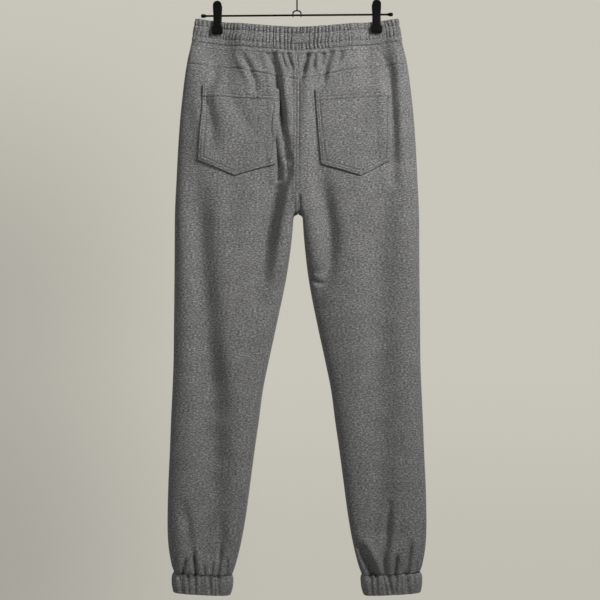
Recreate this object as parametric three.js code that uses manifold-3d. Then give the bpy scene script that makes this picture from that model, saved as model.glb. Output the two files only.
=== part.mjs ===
// Jogger sweatpants hung by the waistband from a clip hanger.
// Millimetres, +Z up. The origin is under the crown of the hook, where a rail carries the hanger.
// The back of the garment faces -Y, its front faces +Y, and -X is the wearer's left.

import * as THREE from "three";
import { mergeVertices } from "three/addons/utils/BufferGeometryUtils.js";
import Module from "manifold-3d";

const wasm = await Module();
wasm.setup();

// Cloth
const CLOTH = 2; // one layer of brushed fleece
const BAND = 3; // waistband: fleece folded over its elastic
const CUFF = 2.4; // cuff: fleece folded over its elastic
const SEAM_GAP = 0.3;

// Heights at the side seams, below the rail
const WAIST_TOP = -93.5;
const BAND_HEIGHT = 39;
const YOKE_SIDE = -173.5;
const SEAT_TOP = -350;
const CROTCH = -432;
const THIGH_FOOT = -565;
const ANKLE = -940;
const CUFF_SEAM = -1059;
const CUFF_HEIGHT = 33;

// Cross sections
const TORSO_POWER = 2.4; // roundness of the superellipses: 2 is an ellipse
const LEG_POWER = 2.2;
const INNER_POWER = 4; // the inner half of each leg is flatter just under the crotch
const BRIDGE_POWER = 5; // how late the seat turns under between the legs
const SPLIT_TOP = -320; // the section changes from one tube to two between these heights
const SPLIT_FOOT = -400;
const CROTCH_GAP = 9; // the legs part this far each side just under the crotch
const CROTCH_FALL = 3;

// How the cloth hangs
const WAIST_SAG = 17; // the middle of the waistband hangs this far below its ends
const SAG_WIDTH = 182;
const SAG_TOP = -165; // the sag fades out between these heights
const SAG_FOOT = -420;
const HEM_TILT = 5; // the inner side of each hem hangs lower
const TILT_TOP = -900;

// Back yoke and patch pockets
const YOKE_DIP = 14; // the seam is lower by this at the centre back
const YOKE_DIP_WIDTH = 110;
const YOKE_HALF_WIDTH = 191;
const YOKE_LEVEL = -270; // the panel's rows follow the yoke down to this height
const POCKET_CORNERS = ["top left", "top right", "foot right", "tip", "foot left"];
const POCKET_PLACES = {
  left: { x: [-163.6, -38.7, -47.3, -107.3, -169.6], z: [-211.9, -220, -350.2, -370.6, -343.4] },
  right: { x: [29.4, 162.7, 159.8, 109.9, 42.6], z: [-221.9, -211.9, -343.4, -370.6, -350.6] },
};

// Hanger
const ROD = { radius: 1.7, halfLength: 164.2, height: -86.4, rise: 1.35 }; // its right end is up by rise
const KNOB = { radius: 3.3, length: 9.5, bore: 2.05, depth: 6 };
const HOOK = { wire: 1.25, radius: 20, tip: 205, turn: -60 };
const SADDLE = { halfWidth: 7, height: 8, eyeWire: 0.8, shank: 8 };
const ROD_CLEARANCE = 0.4;
const EAR = { radius: 3.6, halfWidth: 0.7, root: 6.6, rootHalf: 3, backMiddle: 5.3, frontMiddle: 3.5 };
const SPRING = { radius: 3.3, halfLength: 2.4 };
const CLIP_X = 139;
const JAW_HALF_WIDTH = 9.9;
const CLAMPED = 1.8; // the middle of the waistband's wall lies this far out between the jaws
const CLAMP_REACH = 36;
const CLAMP_TOP = -125; // the cloth opens again between these heights
const CLAMP_FOOT = -235;
const BEYOND = 80; // farther from the middle plane than any cloth

const BACK = -1;
const FRONT = 1;
const LEFT = -1;
const RIGHT = 1;

const table = (columns, rows) =>
  rows.map((row) => Object.fromEntries(columns.map((name, i) => [name, row[i]])));

// Sections of the cloth's middle. outer and inner run from the centre line to the side seam and
// the inseam, back and front from the middle plane.
const SECTIONS = table(
  ["z", "outer", "inner", "back", "front"],
  [
    [-93, 176.5, 0, 15, 14],
    [-115, 180, 0, 16, 15],
    [-137, 184, 0, 18, 16],
    [-165, 190.5, 0, 25, 21],
    [-200, 196, 0, 31, 27],
    [-235, 200, 0, 35, 30],
    [-270, 203.5, 0, 38, 33],
    [-305, 206, 0, 40, 35],
    [-340, 208, 0, 41, 36],
    [-375, 209.5, 0, 42, 37],
    [-432, 212, 0, 42, 38],
    [-480, 212.5, 3, 42, 38],
    [-550, 213, 12, 40, 37],
    [-637, 214, 29.5, 38, 35],
    [-690, 214.5, 41, 37, 34],
    [-742, 216.5, 51.5, 36, 33],
    [-795, 219, 58.5, 35, 32],
    [-847, 221, 66, 34, 31],
    [-900, 223.5, 73, 33, 31],
    [-952, 225, 80, 32, 30],
    [-987, 225, 86, 31, 29],
    [-1013, 223.5, 91.5, 30, 28],
    [-1031, 221, 96, 28, 26],
    [-1048, 217.5, 101, 25, 24],
    [-1059, 214, 105, 23, 22],
    [-1066, 216.5, 104, 24, 23.5],
    [-1080, 216.5, 105.5, 24, 23.5],
    [-1092, 215, 108, 23, 22.5],
  ],
);

// The largest folds, as troughs from (x0, z0) through (x1, z1) down to (x2, z2). top and foot are
// the shares of the depth at the two ends.
const FOLD_COLUMNS = ["x0", "z0", "x1", "z1", "x2", "z2", "width", "depth", "top", "foot"];
const BACK_FOLDS = table(FOLD_COLUMNS, [
  [-45, -142, -29, -240, -16, -350, 8, 10, 0.5, 0.2],
  [-41, -280, -36, -345, -30, -412, 10, 9, 0, 0.5],
  [-30, -372, -45, -480, -58, -605, 12, 10, 0.3, 0],
  [-142, -145, -134, -179, -141, -222, 7, 3.5, 0.8, 0],
  [-92, -145, -81, -179, -70, -225, 7, 5, 0.8, 0],
  [16, -145, 9, -175, 3, -210, 6, 4, 1, 0],
  [61, -145, 53, -185, 47, -225, 7, 5.5, 0.8, 0],
  [142, -140, 144, -162, 150, -190, 6, 2, 1, 0],
  [149, -132, 165, -235, 169, -350, 8, 9, 0.4, 0.2],
  [167, -330, 157, -480, 154, -640, 15, 6, 0.3, 0],
  [155, -600, 159, -830, 157, -975, 15, 5, 0.3, 0.3],
  [-156, -205, -138, -270, -124, -350, 15, 4, 0.3, 0],
  [-176, -345, -159, -440, -149, -585, 13, 6, 0.2, 0.7],
  [-153, -520, -139, -760, -135, -1030, 16, 8, 0.1, 0.3],
  [51, -365, 64, -475, 53, -600, 11, 10, 0, 0],
  [-186, -935, -181, -1000, -176, -1062, 7, 6, 0, 0.5],
  [-205, -1025, -200, -1040, -197, -1062, 5, 3.5, 0, 0.5],
  [-160, -1025, -160, -1040, -160, -1062, 5, 2.5, 0, 0.7],
  [-131, -1005, -132, -1030, -136, -1062, 6, 4.5, 0, 0.55],
  [108, -990, 122, -1030, 139, -1062, 7, 6.5, 0, 0.4],
  [163, -950, 160, -1000, 153, -1062, 7, 6, 0, 0.45],
  [173, -1015, 173, -1035, 173, -1062, 5, 3, 0, 0.6],
  [200, -1000, 197, -1030, 192, -1062, 6, 4, 0, 0.5],
]);
const FRONT_FOLDS = table(FOLD_COLUMNS, [
  [-60, -140, -46, -190, -38, -240, 9, 5, 1, 0],
  [-22, -140, -16, -200, -10, -260, 8, 5, 1, 0],
  [34, -140, 24, -220, 14, -300, 9, 6, 1, 0],
  [84, -140, 75, -180, 66, -220, 8, 4, 1, 0],
  [112, -140, 108, -170, 104, -200, 8, 3, 1, 0],
  [-110, -140, -103, -175, -96, -210, 8, 3, 1, 0],
  [-45, -300, -40, -450, -58, -600, 14, 7, 0, 0],
  [42, -330, 42, -475, 62, -620, 14, 7, 0, 0],
  [-150, -720, -146, -860, -142, -1000, 18, 4, 0, 0],
  [140, -780, 150, -900, 160, -1020, 18, 4, 0, 0],
  [-196, -1000, -193, -1030, -190, -1062, 8, 4, 0, 0.4],
  [-166, -1010, -166, -1035, -166, -1062, 8, 4, 0, 0.4],
  [-138, -990, -142, -1025, -146, -1062, 8, 4, 0, 0.4],
  [134, -1000, 137, -1030, 140, -1062, 8, 4, 0, 0.4],
  [164, -990, 165, -1025, 166, -1062, 8, 4, 0, 0.4],
  [200, -1010, 197, -1035, 194, -1062, 8, 4, 0, 0.4],
]);
const FOLD_RUN_IN = 0.35; // the share of a fold's length over which it deepens and fades out
const RIDGE = 0.3; // the cloth rises beside a trough by this share of its depth
const RIDGE_AT = 1.9; // that many widths from its middle

// A clip's jaw at heights above the rod: its near and far faces, from the middle plane, and its half
// width. The tab above the second row is rounded to a half circle.
const JAW_ROWS = table(
  ["rise", "near", "far", "half"],
  [
    [24.4, 8.6, 11.2, 7.8],
    [16.6, 7.3, 10.1, 7.8],
    [4, 5.4, 8.4, 7.3],
    [-3, 5.2, 8, 7.1],
    [-14, 5.7, 9.7, 7.1],
    [-19.6, 5.7, 10.5, 7.2],
    [-21.4, 5.7, 10.8, JAW_HALF_WIDTH - 0.3],
    [-28, 5.7, 11.3, JAW_HALF_WIDTH],
    [-31.8, 5.7, 11, JAW_HALF_WIDTH - 0.4],
    [-33, 5.7, 10.4, JAW_HALF_WIDTH - 1.6],
  ],
);

// Rows of the waistband and the cuffs: drop below the top edge, how far the channel between two
// rows of stitching puffs out, and how far its gathers stand either side of that.
const RIM_COLUMNS = ["drop", "puff", "gather"];
const BAND_ROWS = table(RIM_COLUMNS, [
  [0, -0.6, 0.3],
  [5, 0.6, 0.8],
  [10.7, -0.2, 0.5],
  [19.9, 0.9, 0.8],
  [29.1, -0.2, 0.5],
  [34, 0.3, 0.6],
  [39, -0.4, 0.4],
]);
const CUFF_ROWS = table(RIM_COLUMNS, [
  [0, -0.2, 0.8],
  [5, 0.8, 1.4],
  [16, 1, 1.5],
  [28, 0.9, 1.4],
  [33, -0.4, 0.7],
]);
const BAND_GATHERS = 112;
const CUFF_GATHERS = 15;
const FLAT_PATCH = 15; // the centre back of the band lies flat this far each side

const clamp01 = (value) => Math.min(1, Math.max(0, value));
const fade = (from, to, value) => {
  const t = clamp01((value - from) / (to - from));
  return t * t * (3 - 2 * t);
};
const mix = (a, b, share) => a + (b - a) * share;
const superellipse = (t, power) => (1 - clamp01(t) ** power) ** (1 / power);
const steps = (count) => Array.from({ length: count + 1 }, (_, i) => i / count);

// One column of the section table at a height, on a smooth curve through its rows.
function sectionAt(z, column) {
  const last = SECTIONS.length - 1;
  const found = SECTIONS.findIndex((row) => row.z < z);
  const i = Math.min(last - 1, Math.max(0, (found < 0 ? last : found) - 1));
  const slope = (k) => {
    const above = SECTIONS[Math.max(0, k - 1)];
    const below = SECTIONS[Math.min(last, k + 1)];
    return (below[column] - above[column]) / (below.z - above.z);
  };
  const span = SECTIONS[i + 1].z - SECTIONS[i].z;
  const t = clamp01((z - SECTIONS[i].z) / span);
  const rise = SECTIONS[i + 1][column] - SECTIONS[i][column];
  const swing = (1 - t) * (slope(i) * span - rise) - t * (slope(i + 1) * span - rise);
  return SECTIONS[i][column] + t * rise + t * (1 - t) * swing;
}

// The x of a fold's middle at a height, on the parabola through its three points.
function foldMiddle({ x0, z0, x1, z1, x2, z2 }, z) {
  const share = (at, one, other) => ((z - one) * (z - other)) / ((at - one) * (at - other));
  return x0 * share(z0, z1, z2) + x1 * share(z1, z0, z2) + x2 * share(z2, z0, z1);
}

// How deep the folds are at a point of one face, seen from in front of it.
function foldDepth(folds, x, z) {
  let depth = 0;
  for (const fold of folds) {
    const t = (fold.z0 - z) / (fold.z0 - fold.z2);
    if (t <= 0 || t >= 1) continue;
    const off = (x - foldMiddle(fold, z)) / fold.width;
    const head = mix(fold.top, 1, fade(0, FOLD_RUN_IN, t));
    const tail = mix(fold.foot, 1, fade(1, 1 - FOLD_RUN_IN, t));
    const trough = Math.exp(-off * off) - RIDGE * Math.exp(-((Math.abs(off) - RIDGE_AT) ** 2));
    depth += fold.depth * head * tail * trough;
  }
  return depth;
}

// A point of the cloth's middle. across is 0 at the side seam and 1 at the centre seam or inseam.
function body(face, side, across, z) {
  const outer = sectionAt(z, "outer");
  const parted = z < CROTCH ? CROTCH_GAP * (1 - Math.exp((z - CROTCH) / CROTCH_FALL)) : 0;
  const inner = Math.max(SEAM_GAP / 2, z < CROTCH ? sectionAt(z, "inner") + parted : 0);
  const x = side * mix(outer, inner, across);

  const fallen = clamp01((SEAT_TOP - z) / (SEAT_TOP - CROTCH));
  const bridge = Math.sqrt(1 - fallen ** BRIDGE_POWER);
  const power = across < 0.5 ? LEG_POWER : mix(LEG_POWER, INNER_POWER, fade(THIGH_FOOT, CROTCH, z));
  const leg = superellipse(Math.abs(2 * across - 1), power);
  const saddle = across < 0.5 ? leg : mix(bridge, 1, leg);
  const torso = superellipse(1 - across, TORSO_POWER);
  const round = mix(torso, saddle, fade(SPLIT_TOP, SPLIT_FOOT, z));

  const sag = WAIST_SAG * (1 - clamp01(Math.abs(x) / SAG_WIDTH) ** 1.5);
  const sagShare = clamp01((z - SAG_FOOT) / (SAG_TOP - SAG_FOOT));
  const tilt = HEM_TILT * across * fade(TILT_TOP, CUFF_SEAM, z);
  const hung = z - sag * sagShare - tilt;

  const depth = sectionAt(z, face === BACK ? "back" : "front") * round;
  const folds = foldDepth(face === BACK ? BACK_FOLDS : FRONT_FOLDS, x, hung);
  const nearClip = 1 - fade(JAW_HALF_WIDTH, JAW_HALF_WIDTH + CLAMP_REACH, Math.abs(Math.abs(x) - CLIP_X));
  const clamped = nearClip * fade(CLAMP_FOOT, CLAMP_TOP, z);
  const inBand = fade(WAIST_TOP - BAND_HEIGHT - 6, WAIST_TOP - BAND_HEIGHT - 1, z);
  const inCuff = fade(CUFF_SEAM, CUFF_SEAM - 3, z);
  const shown = folds * Math.min(1, 1.5 * round) * (1 - inBand) * (1 - inCuff);
  const out = mix(depth - shown, Math.min(depth, CLAMPED), clamped);
  return new THREE.Vector3(x, face * Math.max(SEAM_GAP / 2, out), hung);
}

// The way out of the cloth. At a seam it stays in the seam's own plane, so that the two pieces meet
// edge to edge.
function outward(face, side, across, z) {
  const step = 0.002;
  const rise = 0.5;
  const along = body(face, side, Math.min(1, across + step), z).sub(
    body(face, side, Math.max(0, across - step), z),
  );
  const down = body(face, side, across, z - rise).sub(body(face, side, across, z + rise));
  const normal = along.cross(down).multiplyScalar(-face * side);
  const inBandSeam = z >= BAND_SEAM && z <= BAND_SEAM + SEAM_GAP;
  const inCuffSeam = z <= CUFF_SEAM && z >= CUFF_SEAM - SEAM_GAP;
  if (inBandSeam || inCuffSeam) normal.z = 0;
  if (across === 0) normal.y = 0;
  if (across === 1 && z === CROTCH) normal.set(0, 0, -1);
  else if (across === 1 && z > CROTCH) normal.x = 0;
  else if (across === 1) normal.y = 0;
  return normal.normalize();
}

const offset = (place, distance) =>
  body(place.face, place.side, place.across, place.z).addScaledVector(
    outward(place.face, place.side, place.across, place.z),
    distance,
  );

// A geometry from a list of points and triangles, turned to face out.
function solid(points, triangles) {
  let volume = 0;
  for (const [a, b, c] of triangles) volume += points[a].dot(points[b].clone().cross(points[c]));
  const turned = volume < 0 ? triangles.map(([a, b, c]) => [a, c, b]) : triangles;
  const geometry = new THREE.BufferGeometry();
  geometry.setAttribute("position", new THREE.Float32BufferAttribute(points.flatMap((p) => p.toArray()), 3));
  geometry.setIndex(turned.flat());
  geometry.computeVertexNormals();
  return geometry;
}

// A wall of cloth between two grids of points of the same size, closed round its edges.
function wall(outerGrid, innerGrid) {
  const rows = outerGrid.length;
  const columns = outerGrid[0].length;
  const points = [...outerGrid.flat(), ...innerGrid.flat()];
  const inner = rows * columns;
  const triangles = [];
  const quad = (a, b, c, d) => triangles.push([a, b, c], [a, c, d]);
  for (let r = 0; r + 1 < rows; r++) {
    for (let c = 0; c + 1 < columns; c++) {
      const a = r * columns + c;
      quad(a, a + 1, a + columns + 1, a + columns);
      quad(inner + a, inner + a + columns, inner + a + columns + 1, inner + a + 1);
    }
  }
  for (let c = 0; c + 1 < columns; c++) {
    const foot = (rows - 1) * columns + c;
    quad(c, inner + c, inner + c + 1, c + 1);
    quad(foot, foot + 1, inner + foot + 1, inner + foot);
  }
  for (let r = 0; r + 1 < rows; r++) {
    const a = r * columns;
    const b = a + columns - 1;
    quad(a, a + columns, inner + a + columns, inner + a);
    quad(b, inner + b, inner + b + columns, b + columns);
  }
  return solid(points, triangles);
}

// A closed band: an outer skin of several rows over a plain inner skin of two.
function ring(outerRows, innerRows) {
  const count = outerRows[0].length;
  const points = [...outerRows.flat(), ...innerRows.flat()];
  const inner = outerRows.length * count;
  const triangles = [];
  const join = (upper, lower) => {
    for (let c = 0; c < count; c++) {
      const next = (c + 1) % count;
      triangles.push([upper + c, upper + next, lower + next], [upper + c, lower + next, lower + c]);
    }
  };
  for (let r = 0; r + 1 < outerRows.length; r++) join(r * count, (r + 1) * count);
  join(inner - count, inner + count);
  join(inner + count, inner);
  join(inner, 0);
  return solid(points, triangles);
}

// Body panels: rows are heights as functions of the place across, columns are places across. down
// gives heights from one to another, closer together near the start where power is over 1.
const down = (from, to, count, power = 1) =>
  steps(count)
    .slice(1)
    .map((t) => mix(from, to, t ** power));
const crowdedAtEnds = (t) => (t + (1 - Math.cos(Math.PI * t)) / 2) / 2;
const BACK_COLUMNS = steps(15).map((t) => crowdedAtEnds(1 - (1 - t) ** 1.15));
const FRONT_COLUMNS = steps(11).map(crowdedAtEnds);
const LEG_LEVELS = [
  ...down(SEAT_TOP, CROTCH, 5, 0.55),
  ...down(CROTCH, THIGH_FOOT, 6, 2.2),
  ...down(THIGH_FOOT, ANKLE, 7),
  ...down(ANKLE, CUFF_SEAM, 6, 0.8),
];
const YOKE_TOP = YOKE_SIDE - SEAM_GAP;
const BACK_LEVELS = [YOKE_TOP, ...down(YOKE_TOP, SEAT_TOP, 8), ...LEG_LEVELS];
const BAND_SEAM = WAIST_TOP - BAND_HEIGHT - SEAM_GAP;
const FRONT_LEVELS = [BAND_SEAM, ...down(BAND_SEAM, SEAT_TOP, 8), ...LEG_LEVELS];

function yokeSeam(across) {
  const x = YOKE_HALF_WIDTH * (1 - across);
  return YOKE_SIDE - YOKE_DIP * clamp01(1 - x / YOKE_DIP_WIDTH) ** 1.2;
}

const level = (height) => () => height;
const belowYoke = (height) => (across) => {
  const share = clamp01((height - YOKE_LEVEL) / (YOKE_SIDE - YOKE_LEVEL));
  return height + (yokeSeam(across) - YOKE_SIDE) * share;
};
const yokeRow = (share) => (across) => mix(BAND_SEAM, yokeSeam(across), share);

function panel(face, side, rows, columns, from, to) {
  const grid = (distance) =>
    rows.map((height) =>
      columns.map((across) => offset({ face, side, across, z: height(across) }, distance)),
    );
  return wall(grid(to), grid(from));
}

const clothPanel = (face, side, rows, columns) => panel(face, side, rows, columns, -CLOTH / 2, CLOTH / 2);

// Places spaced evenly round a ring of cloth, found along the stretches that make it up.
function placesRound(stretches, z, count) {
  const fine = stretches.flatMap(({ face, side, from, to }) =>
    steps(400).map((t) => ({ face, side, across: mix(from, to, (1 - Math.cos(Math.PI * t)) / 2) })),
  );
  const points = fine.map(({ face, side, across }) => body(face, side, across, z));
  const along = [0];
  for (let i = 1; i < points.length; i++) along.push(along[i - 1] + points[i].distanceTo(points[i - 1]));
  const total = along.at(-1) + points[0].distanceTo(points.at(-1));
  let at = 0;
  return Array.from({ length: count }, (_, i) => {
    while (at + 1 < along.length && along[at + 1] <= (total * i) / count) at++;
    return fine[at];
  });
}

const WAIST_ROUND = [
  { face: BACK, side: LEFT, from: 0, to: 1 },
  { face: BACK, side: RIGHT, from: 1, to: 0 },
  { face: FRONT, side: RIGHT, from: 0, to: 1 },
  { face: FRONT, side: LEFT, from: 1, to: 0 },
];
const legRound = (side) => [
  { face: BACK, side, from: 0, to: 1 },
  { face: FRONT, side, from: 1, to: 0 },
];

// A gathered band. wave gives the height of its gathers, from -1 to 1, at each place round it.
function gatheredBand(places, top, rows, thickness, wave) {
  const at = (row, distance) => (place, i) =>
    offset({ ...place, z: top - row.drop }, distance(wave(place, i)));
  const outerRows = rows.map((row) =>
    places.map(at(row, (height) => thickness / 2 + row.puff + row.gather * height)),
  );
  const innerRows = [rows[0], rows.at(-1)].map((row) => places.map(at(row, () => -thickness / 2)));
  return ring(outerRows, innerRows);
}

function waistband() {
  const places = placesRound(WAIST_ROUND, WAIST_TOP - BAND_HEIGHT / 2, 2 * BAND_GATHERS);
  const flat = (place) => {
    const x = body(place.face, place.side, place.across, WAIST_TOP).x;
    return place.face === BACK && Math.abs(x) < FLAT_PATCH;
  };
  const wave = (place, i) => (flat(place) ? 0 : i % 2 ? 1 : -1);
  return gatheredBand(places, WAIST_TOP, BAND_ROWS, BAND, wave);
}

function cuff(side) {
  const perGather = 4;
  const top = CUFF_SEAM - SEAM_GAP;
  const places = placesRound(legRound(side), top - CUFF_HEIGHT / 2, perGather * CUFF_GATHERS);
  const wave = (_, i) => [1, 0.5, -1, 0.5][i % perGather];
  return gatheredBand(places, top, CUFF_ROWS, CUFF, wave);
}

// Booleans

function toManifold(geometry) {
  const bare = new THREE.BufferGeometry().setAttribute("position", geometry.getAttribute("position"));
  if (geometry.index) bare.setIndex(geometry.index);
  const merged = mergeVertices(bare, 1e-4);
  return new wasm.Manifold(
    new wasm.Mesh({
      numProp: 3,
      vertProperties: merged.attributes.position.array,
      triVerts: new Uint32Array(merged.index.array),
    }),
  );
}

function fromManifold(made) {
  const mesh = made.getMesh();
  const geometry = new THREE.BufferGeometry();
  geometry.setAttribute("position", new THREE.BufferAttribute(mesh.vertProperties, 3));
  geometry.setIndex(new THREE.BufferAttribute(mesh.triVerts, 1));
  const faceted = geometry.toNonIndexed();
  faceted.computeVertexNormals();
  return faceted;
}

// An outline in x and z, extruded along Y between two planes.
function prismY(outline, near, far) {
  const geometry = new THREE.ExtrudeGeometry(outline, { depth: far - near, bevelEnabled: false, curveSegments: 4 });
  return geometry.rotateX(Math.PI / 2).translate(0, far, 0);
}

// An outline in y and z, extruded along X between two planes.
function prismX(outline, near, far) {
  const geometry = new THREE.ExtrudeGeometry(outline, { depth: far - near, bevelEnabled: false, curveSegments: 4 });
  return geometry.rotateY(Math.PI / 2).rotateX(Math.PI / 2).translate(near, 0, 0);
}

// A patch pocket cut from a second layer laid on the back panel, with its corners where x and z say.
function pocket(side, { x, z }) {
  const outline = new THREE.Shape(POCKET_CORNERS.map((_, i) => new THREE.Vector2(x[i], z[i])));
  const rows = BACK_LEVELS.filter((height) => height > CROTCH + 20).map(belowYoke);
  const columns = BACK_COLUMNS.filter((across) => across > 0);
  const lift = CLOTH / 2 + SEAM_GAP;
  const layerOver = toManifold(panel(BACK, side, rows, columns, lift, lift + CLOTH));
  return fromManifold(layerOver.intersect(toManifold(prismY(outline, -BEYOND, 0))));
}

// Hanger

const rodHeight = (x) => ROD.height + (ROD.rise * x) / ROD.halfLength;

function alongCurve(points, radius, sides, count) {
  const section = new THREE.Shape(
    steps(sides)
      .slice(0, sides)
      .map((t) => new THREE.Vector2(radius * Math.cos(2 * Math.PI * t), radius * Math.sin(2 * Math.PI * t))),
  );
  const extrudePath = new THREE.CatmullRomCurve3(points);
  return new THREE.ExtrudeGeometry(section, { steps: count, extrudePath, bevelEnabled: false });
}

function rod() {
  const points = steps(12).map((t) => {
    const x = mix(-ROD.halfLength, ROD.halfLength, t);
    return new THREE.Vector3(x, 0, rodHeight(x));
  });
  return alongCurve(points, ROD.radius, 8, 12);
}

// A rounded end knob, bored to go over the rod's end.
function knob(side) {
  const { radius, length, bore, depth } = KNOB;
  const profile = [
    [bore, 0],
    [radius - 1.1, 0],
    [radius, 3.4],
    [radius, length - 2.6],
    [radius - 0.8, length - 0.9],
    [radius - 2.2, length],
    [0, length],
    [0, depth],
    [bore, depth],
    [bore, 0],
  ];
  const geometry = new THREE.LatheGeometry(profile.map(([r, y]) => new THREE.Vector2(r, y)), 12);
  const start = ROD.halfLength + SEAM_GAP - depth;
  return geometry.rotateZ((-side * Math.PI) / 2).translate(side * start, 0, rodHeight(side * ROD.halfLength));
}

// The wire hook, the arch under it and the two eyes that ride on the rod, as one piece.
function hook() {
  const middle = HOOK.radius + HOOK.wire;
  const centre = -HOOK.radius;
  const arc = (radius, x, z, from, to, count) =>
    steps(count).map((t) => {
      const angle = THREE.MathUtils.degToRad(mix(from, to, t));
      return new THREE.Vector3(x + radius * Math.cos(angle), 0, z + radius * Math.sin(angle));
    });
  const turn = THREE.MathUtils.degToRad(HOOK.turn);
  const leaves = new THREE.Vector2(middle * Math.cos(turn), centre + middle * Math.sin(turn));
  const back = leaves.x / (1 - Math.cos(turn)); // radius of the bend that brings the wire back under the crown
  const archTop = ROD.height + SADDLE.height;
  const points = [
    ...arc(middle, 0, centre, HOOK.tip, HOOK.turn, 20),
    ...arc(back, back, leaves.y + back * Math.sin(turn), 180 + HOOK.turn, 180, 6).slice(1),
    new THREE.Vector3(0, 0, archTop + SADDLE.shank),
    new THREE.Vector3(0, 0, archTop),
  ];
  const wire = toManifold(alongCurve(points, HOOK.wire, 7, 34));

  const eyeRadius = ROD.radius + SEAM_GAP + SADDLE.eyeWire;
  const arch = steps(8).map((t) => {
    const angle = Math.PI * t;
    const foot = rodHeight(SADDLE.halfWidth) + eyeRadius;
    return new THREE.Vector3(
      -SADDLE.halfWidth * Math.cos(angle),
      0,
      foot + (archTop - foot) * Math.sin(angle) ** 0.8,
    );
  });
  let made = wire.add(toManifold(alongCurve(arch, HOOK.wire, 7, 10)));
  for (const side of [LEFT, RIGHT]) {
    const x = side * SADDLE.halfWidth;
    const eye = new THREE.TorusGeometry(eyeRadius, SADDLE.eyeWire, 5, 12).rotateY(Math.PI / 2);
    made = made.add(toManifold(eye.translate(x, 0, rodHeight(x))));
  }
  return fromManifold(made);
}

// One plastic jaw of a clip: a bent plate with a thumb tab above the rod, a lipped jaw below it and
// two ears that the rod passes through.
function jaw(face, x) {
  const pivot = rodHeight(x);
  const plate = new THREE.Shape();
  const near = JAW_ROWS.map(({ rise, near: y }) => new THREE.Vector2(face * y, pivot + rise));
  const far = JAW_ROWS.map(({ rise, far: y }) => new THREE.Vector2(face * y, pivot + rise));
  plate.setFromPoints([...near, ...far.reverse()]);

  const below = JAW_ROWS.slice(1);
  const { rise, half } = below[0];
  const edge = (side) => below.map((row) => new THREE.Vector2(x + side * row.half, pivot + row.rise));
  const outline = new THREE.Shape();
  outline.setFromPoints([...edge(LEFT), ...edge(RIGHT).reverse()]);
  outline.absarc(x, pivot + rise, half, 0, Math.PI, false);

  const { radius, halfWidth, root, rootHalf, backMiddle, frontMiddle } = EAR;
  const slab = toManifold(prismX(plate, x - JAW_HALF_WIDTH - 1, x + JAW_HALF_WIDTH + 1));
  let made = slab.intersect(toManifold(prismY(outline, -BEYOND, BEYOND)));
  const ear = new THREE.Shape();
  ear.moveTo(face * root, pivot + rootHalf);
  ear.lineTo(0, pivot + radius);
  ear.absarc(0, pivot, radius, Math.PI / 2, -Math.PI / 2, face === BACK);
  ear.lineTo(face * root, pivot - rootHalf);
  ear.holes.push(new THREE.Path().absarc(0, pivot, ROD.radius + ROD_CLEARANCE, 0, 2 * Math.PI, false));
  const earMiddle = face === BACK ? backMiddle : frontMiddle; // the two plates' ears lie side by side
  for (const side of [LEFT, RIGHT]) {
    const middle = x + side * earMiddle;
    made = made.add(toManifold(prismX(ear, middle - halfWidth, middle + halfWidth)));
  }
  return fromManifold(made);
}

// The sleeve in place of the spring's coil on the rod, between the ears.
function spring(x) {
  const bore = ROD.radius + ROD_CLEARANCE;
  const { radius, halfLength } = SPRING;
  const profile = [
    [bore, -halfLength],
    [radius, -halfLength],
    [radius, halfLength],
    [bore, halfLength],
    [bore, -halfLength],
  ];
  const geometry = new THREE.LatheGeometry(profile.map(([r, y]) => new THREE.Vector2(r, y)), 14);
  return geometry.rotateZ(Math.PI / 2).translate(x, 0, rodHeight(x));
}

// Assembly

const FLEECE = new THREE.MeshStandardMaterial({ color: 0x76767a, roughness: 0.95, metalness: 0 });
const PLASTIC = new THREE.MeshStandardMaterial({ color: 0x1c1c1b, roughness: 0.45, metalness: 0 });
const WIRE = new THREE.MeshStandardMaterial({ color: 0x171613, roughness: 0.4, metalness: 0.6 });

const joggers = new THREE.Group();

function add(name, geometry, material) {
  const mesh = new THREE.Mesh(geometry, material.clone());
  mesh.name = name;
  joggers.add(mesh);
}

const SIDES = { left: LEFT, right: RIGHT };
add("waistband", waistband(), FLEECE);
for (const [name, side] of Object.entries(SIDES)) {
  add(`back_yoke_${name}`, clothPanel(BACK, side, steps(4).map(yokeRow), BACK_COLUMNS), FLEECE);
  add(`back_leg_${name}`, clothPanel(BACK, side, BACK_LEVELS.map(belowYoke), BACK_COLUMNS), FLEECE);
  add(`front_leg_${name}`, clothPanel(FRONT, side, FRONT_LEVELS.map(level), FRONT_COLUMNS), FLEECE);
  add(`cuff_${name}`, cuff(side), FLEECE);
  add(`back_pocket_${name}`, pocket(side, POCKET_PLACES[name]), FLEECE);
}

add("hanger_rod", rod(), WIRE);
add("hanger_hook", hook(), WIRE);
for (const [name, side] of Object.entries(SIDES)) {
  const x = side * CLIP_X;
  add(`hanger_knob_${name}`, knob(side), PLASTIC);
  add(`clip_back_jaw_${name}`, jaw(BACK, x), PLASTIC);
  add(`clip_front_jaw_${name}`, jaw(FRONT, x), PLASTIC);
  add(`clip_spring_${name}`, spring(x), WIRE);
}

export default joggers;
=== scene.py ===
"""Marl fleece joggers hung by the waistband from a clip hanger, seen from the back.

Sizes are in millimetres until a mesh is made. +Z is up, the origin is under the crown of the hook,
the back of the garment faces -Y, and -X is the wearer's left.
"""

import math

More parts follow.
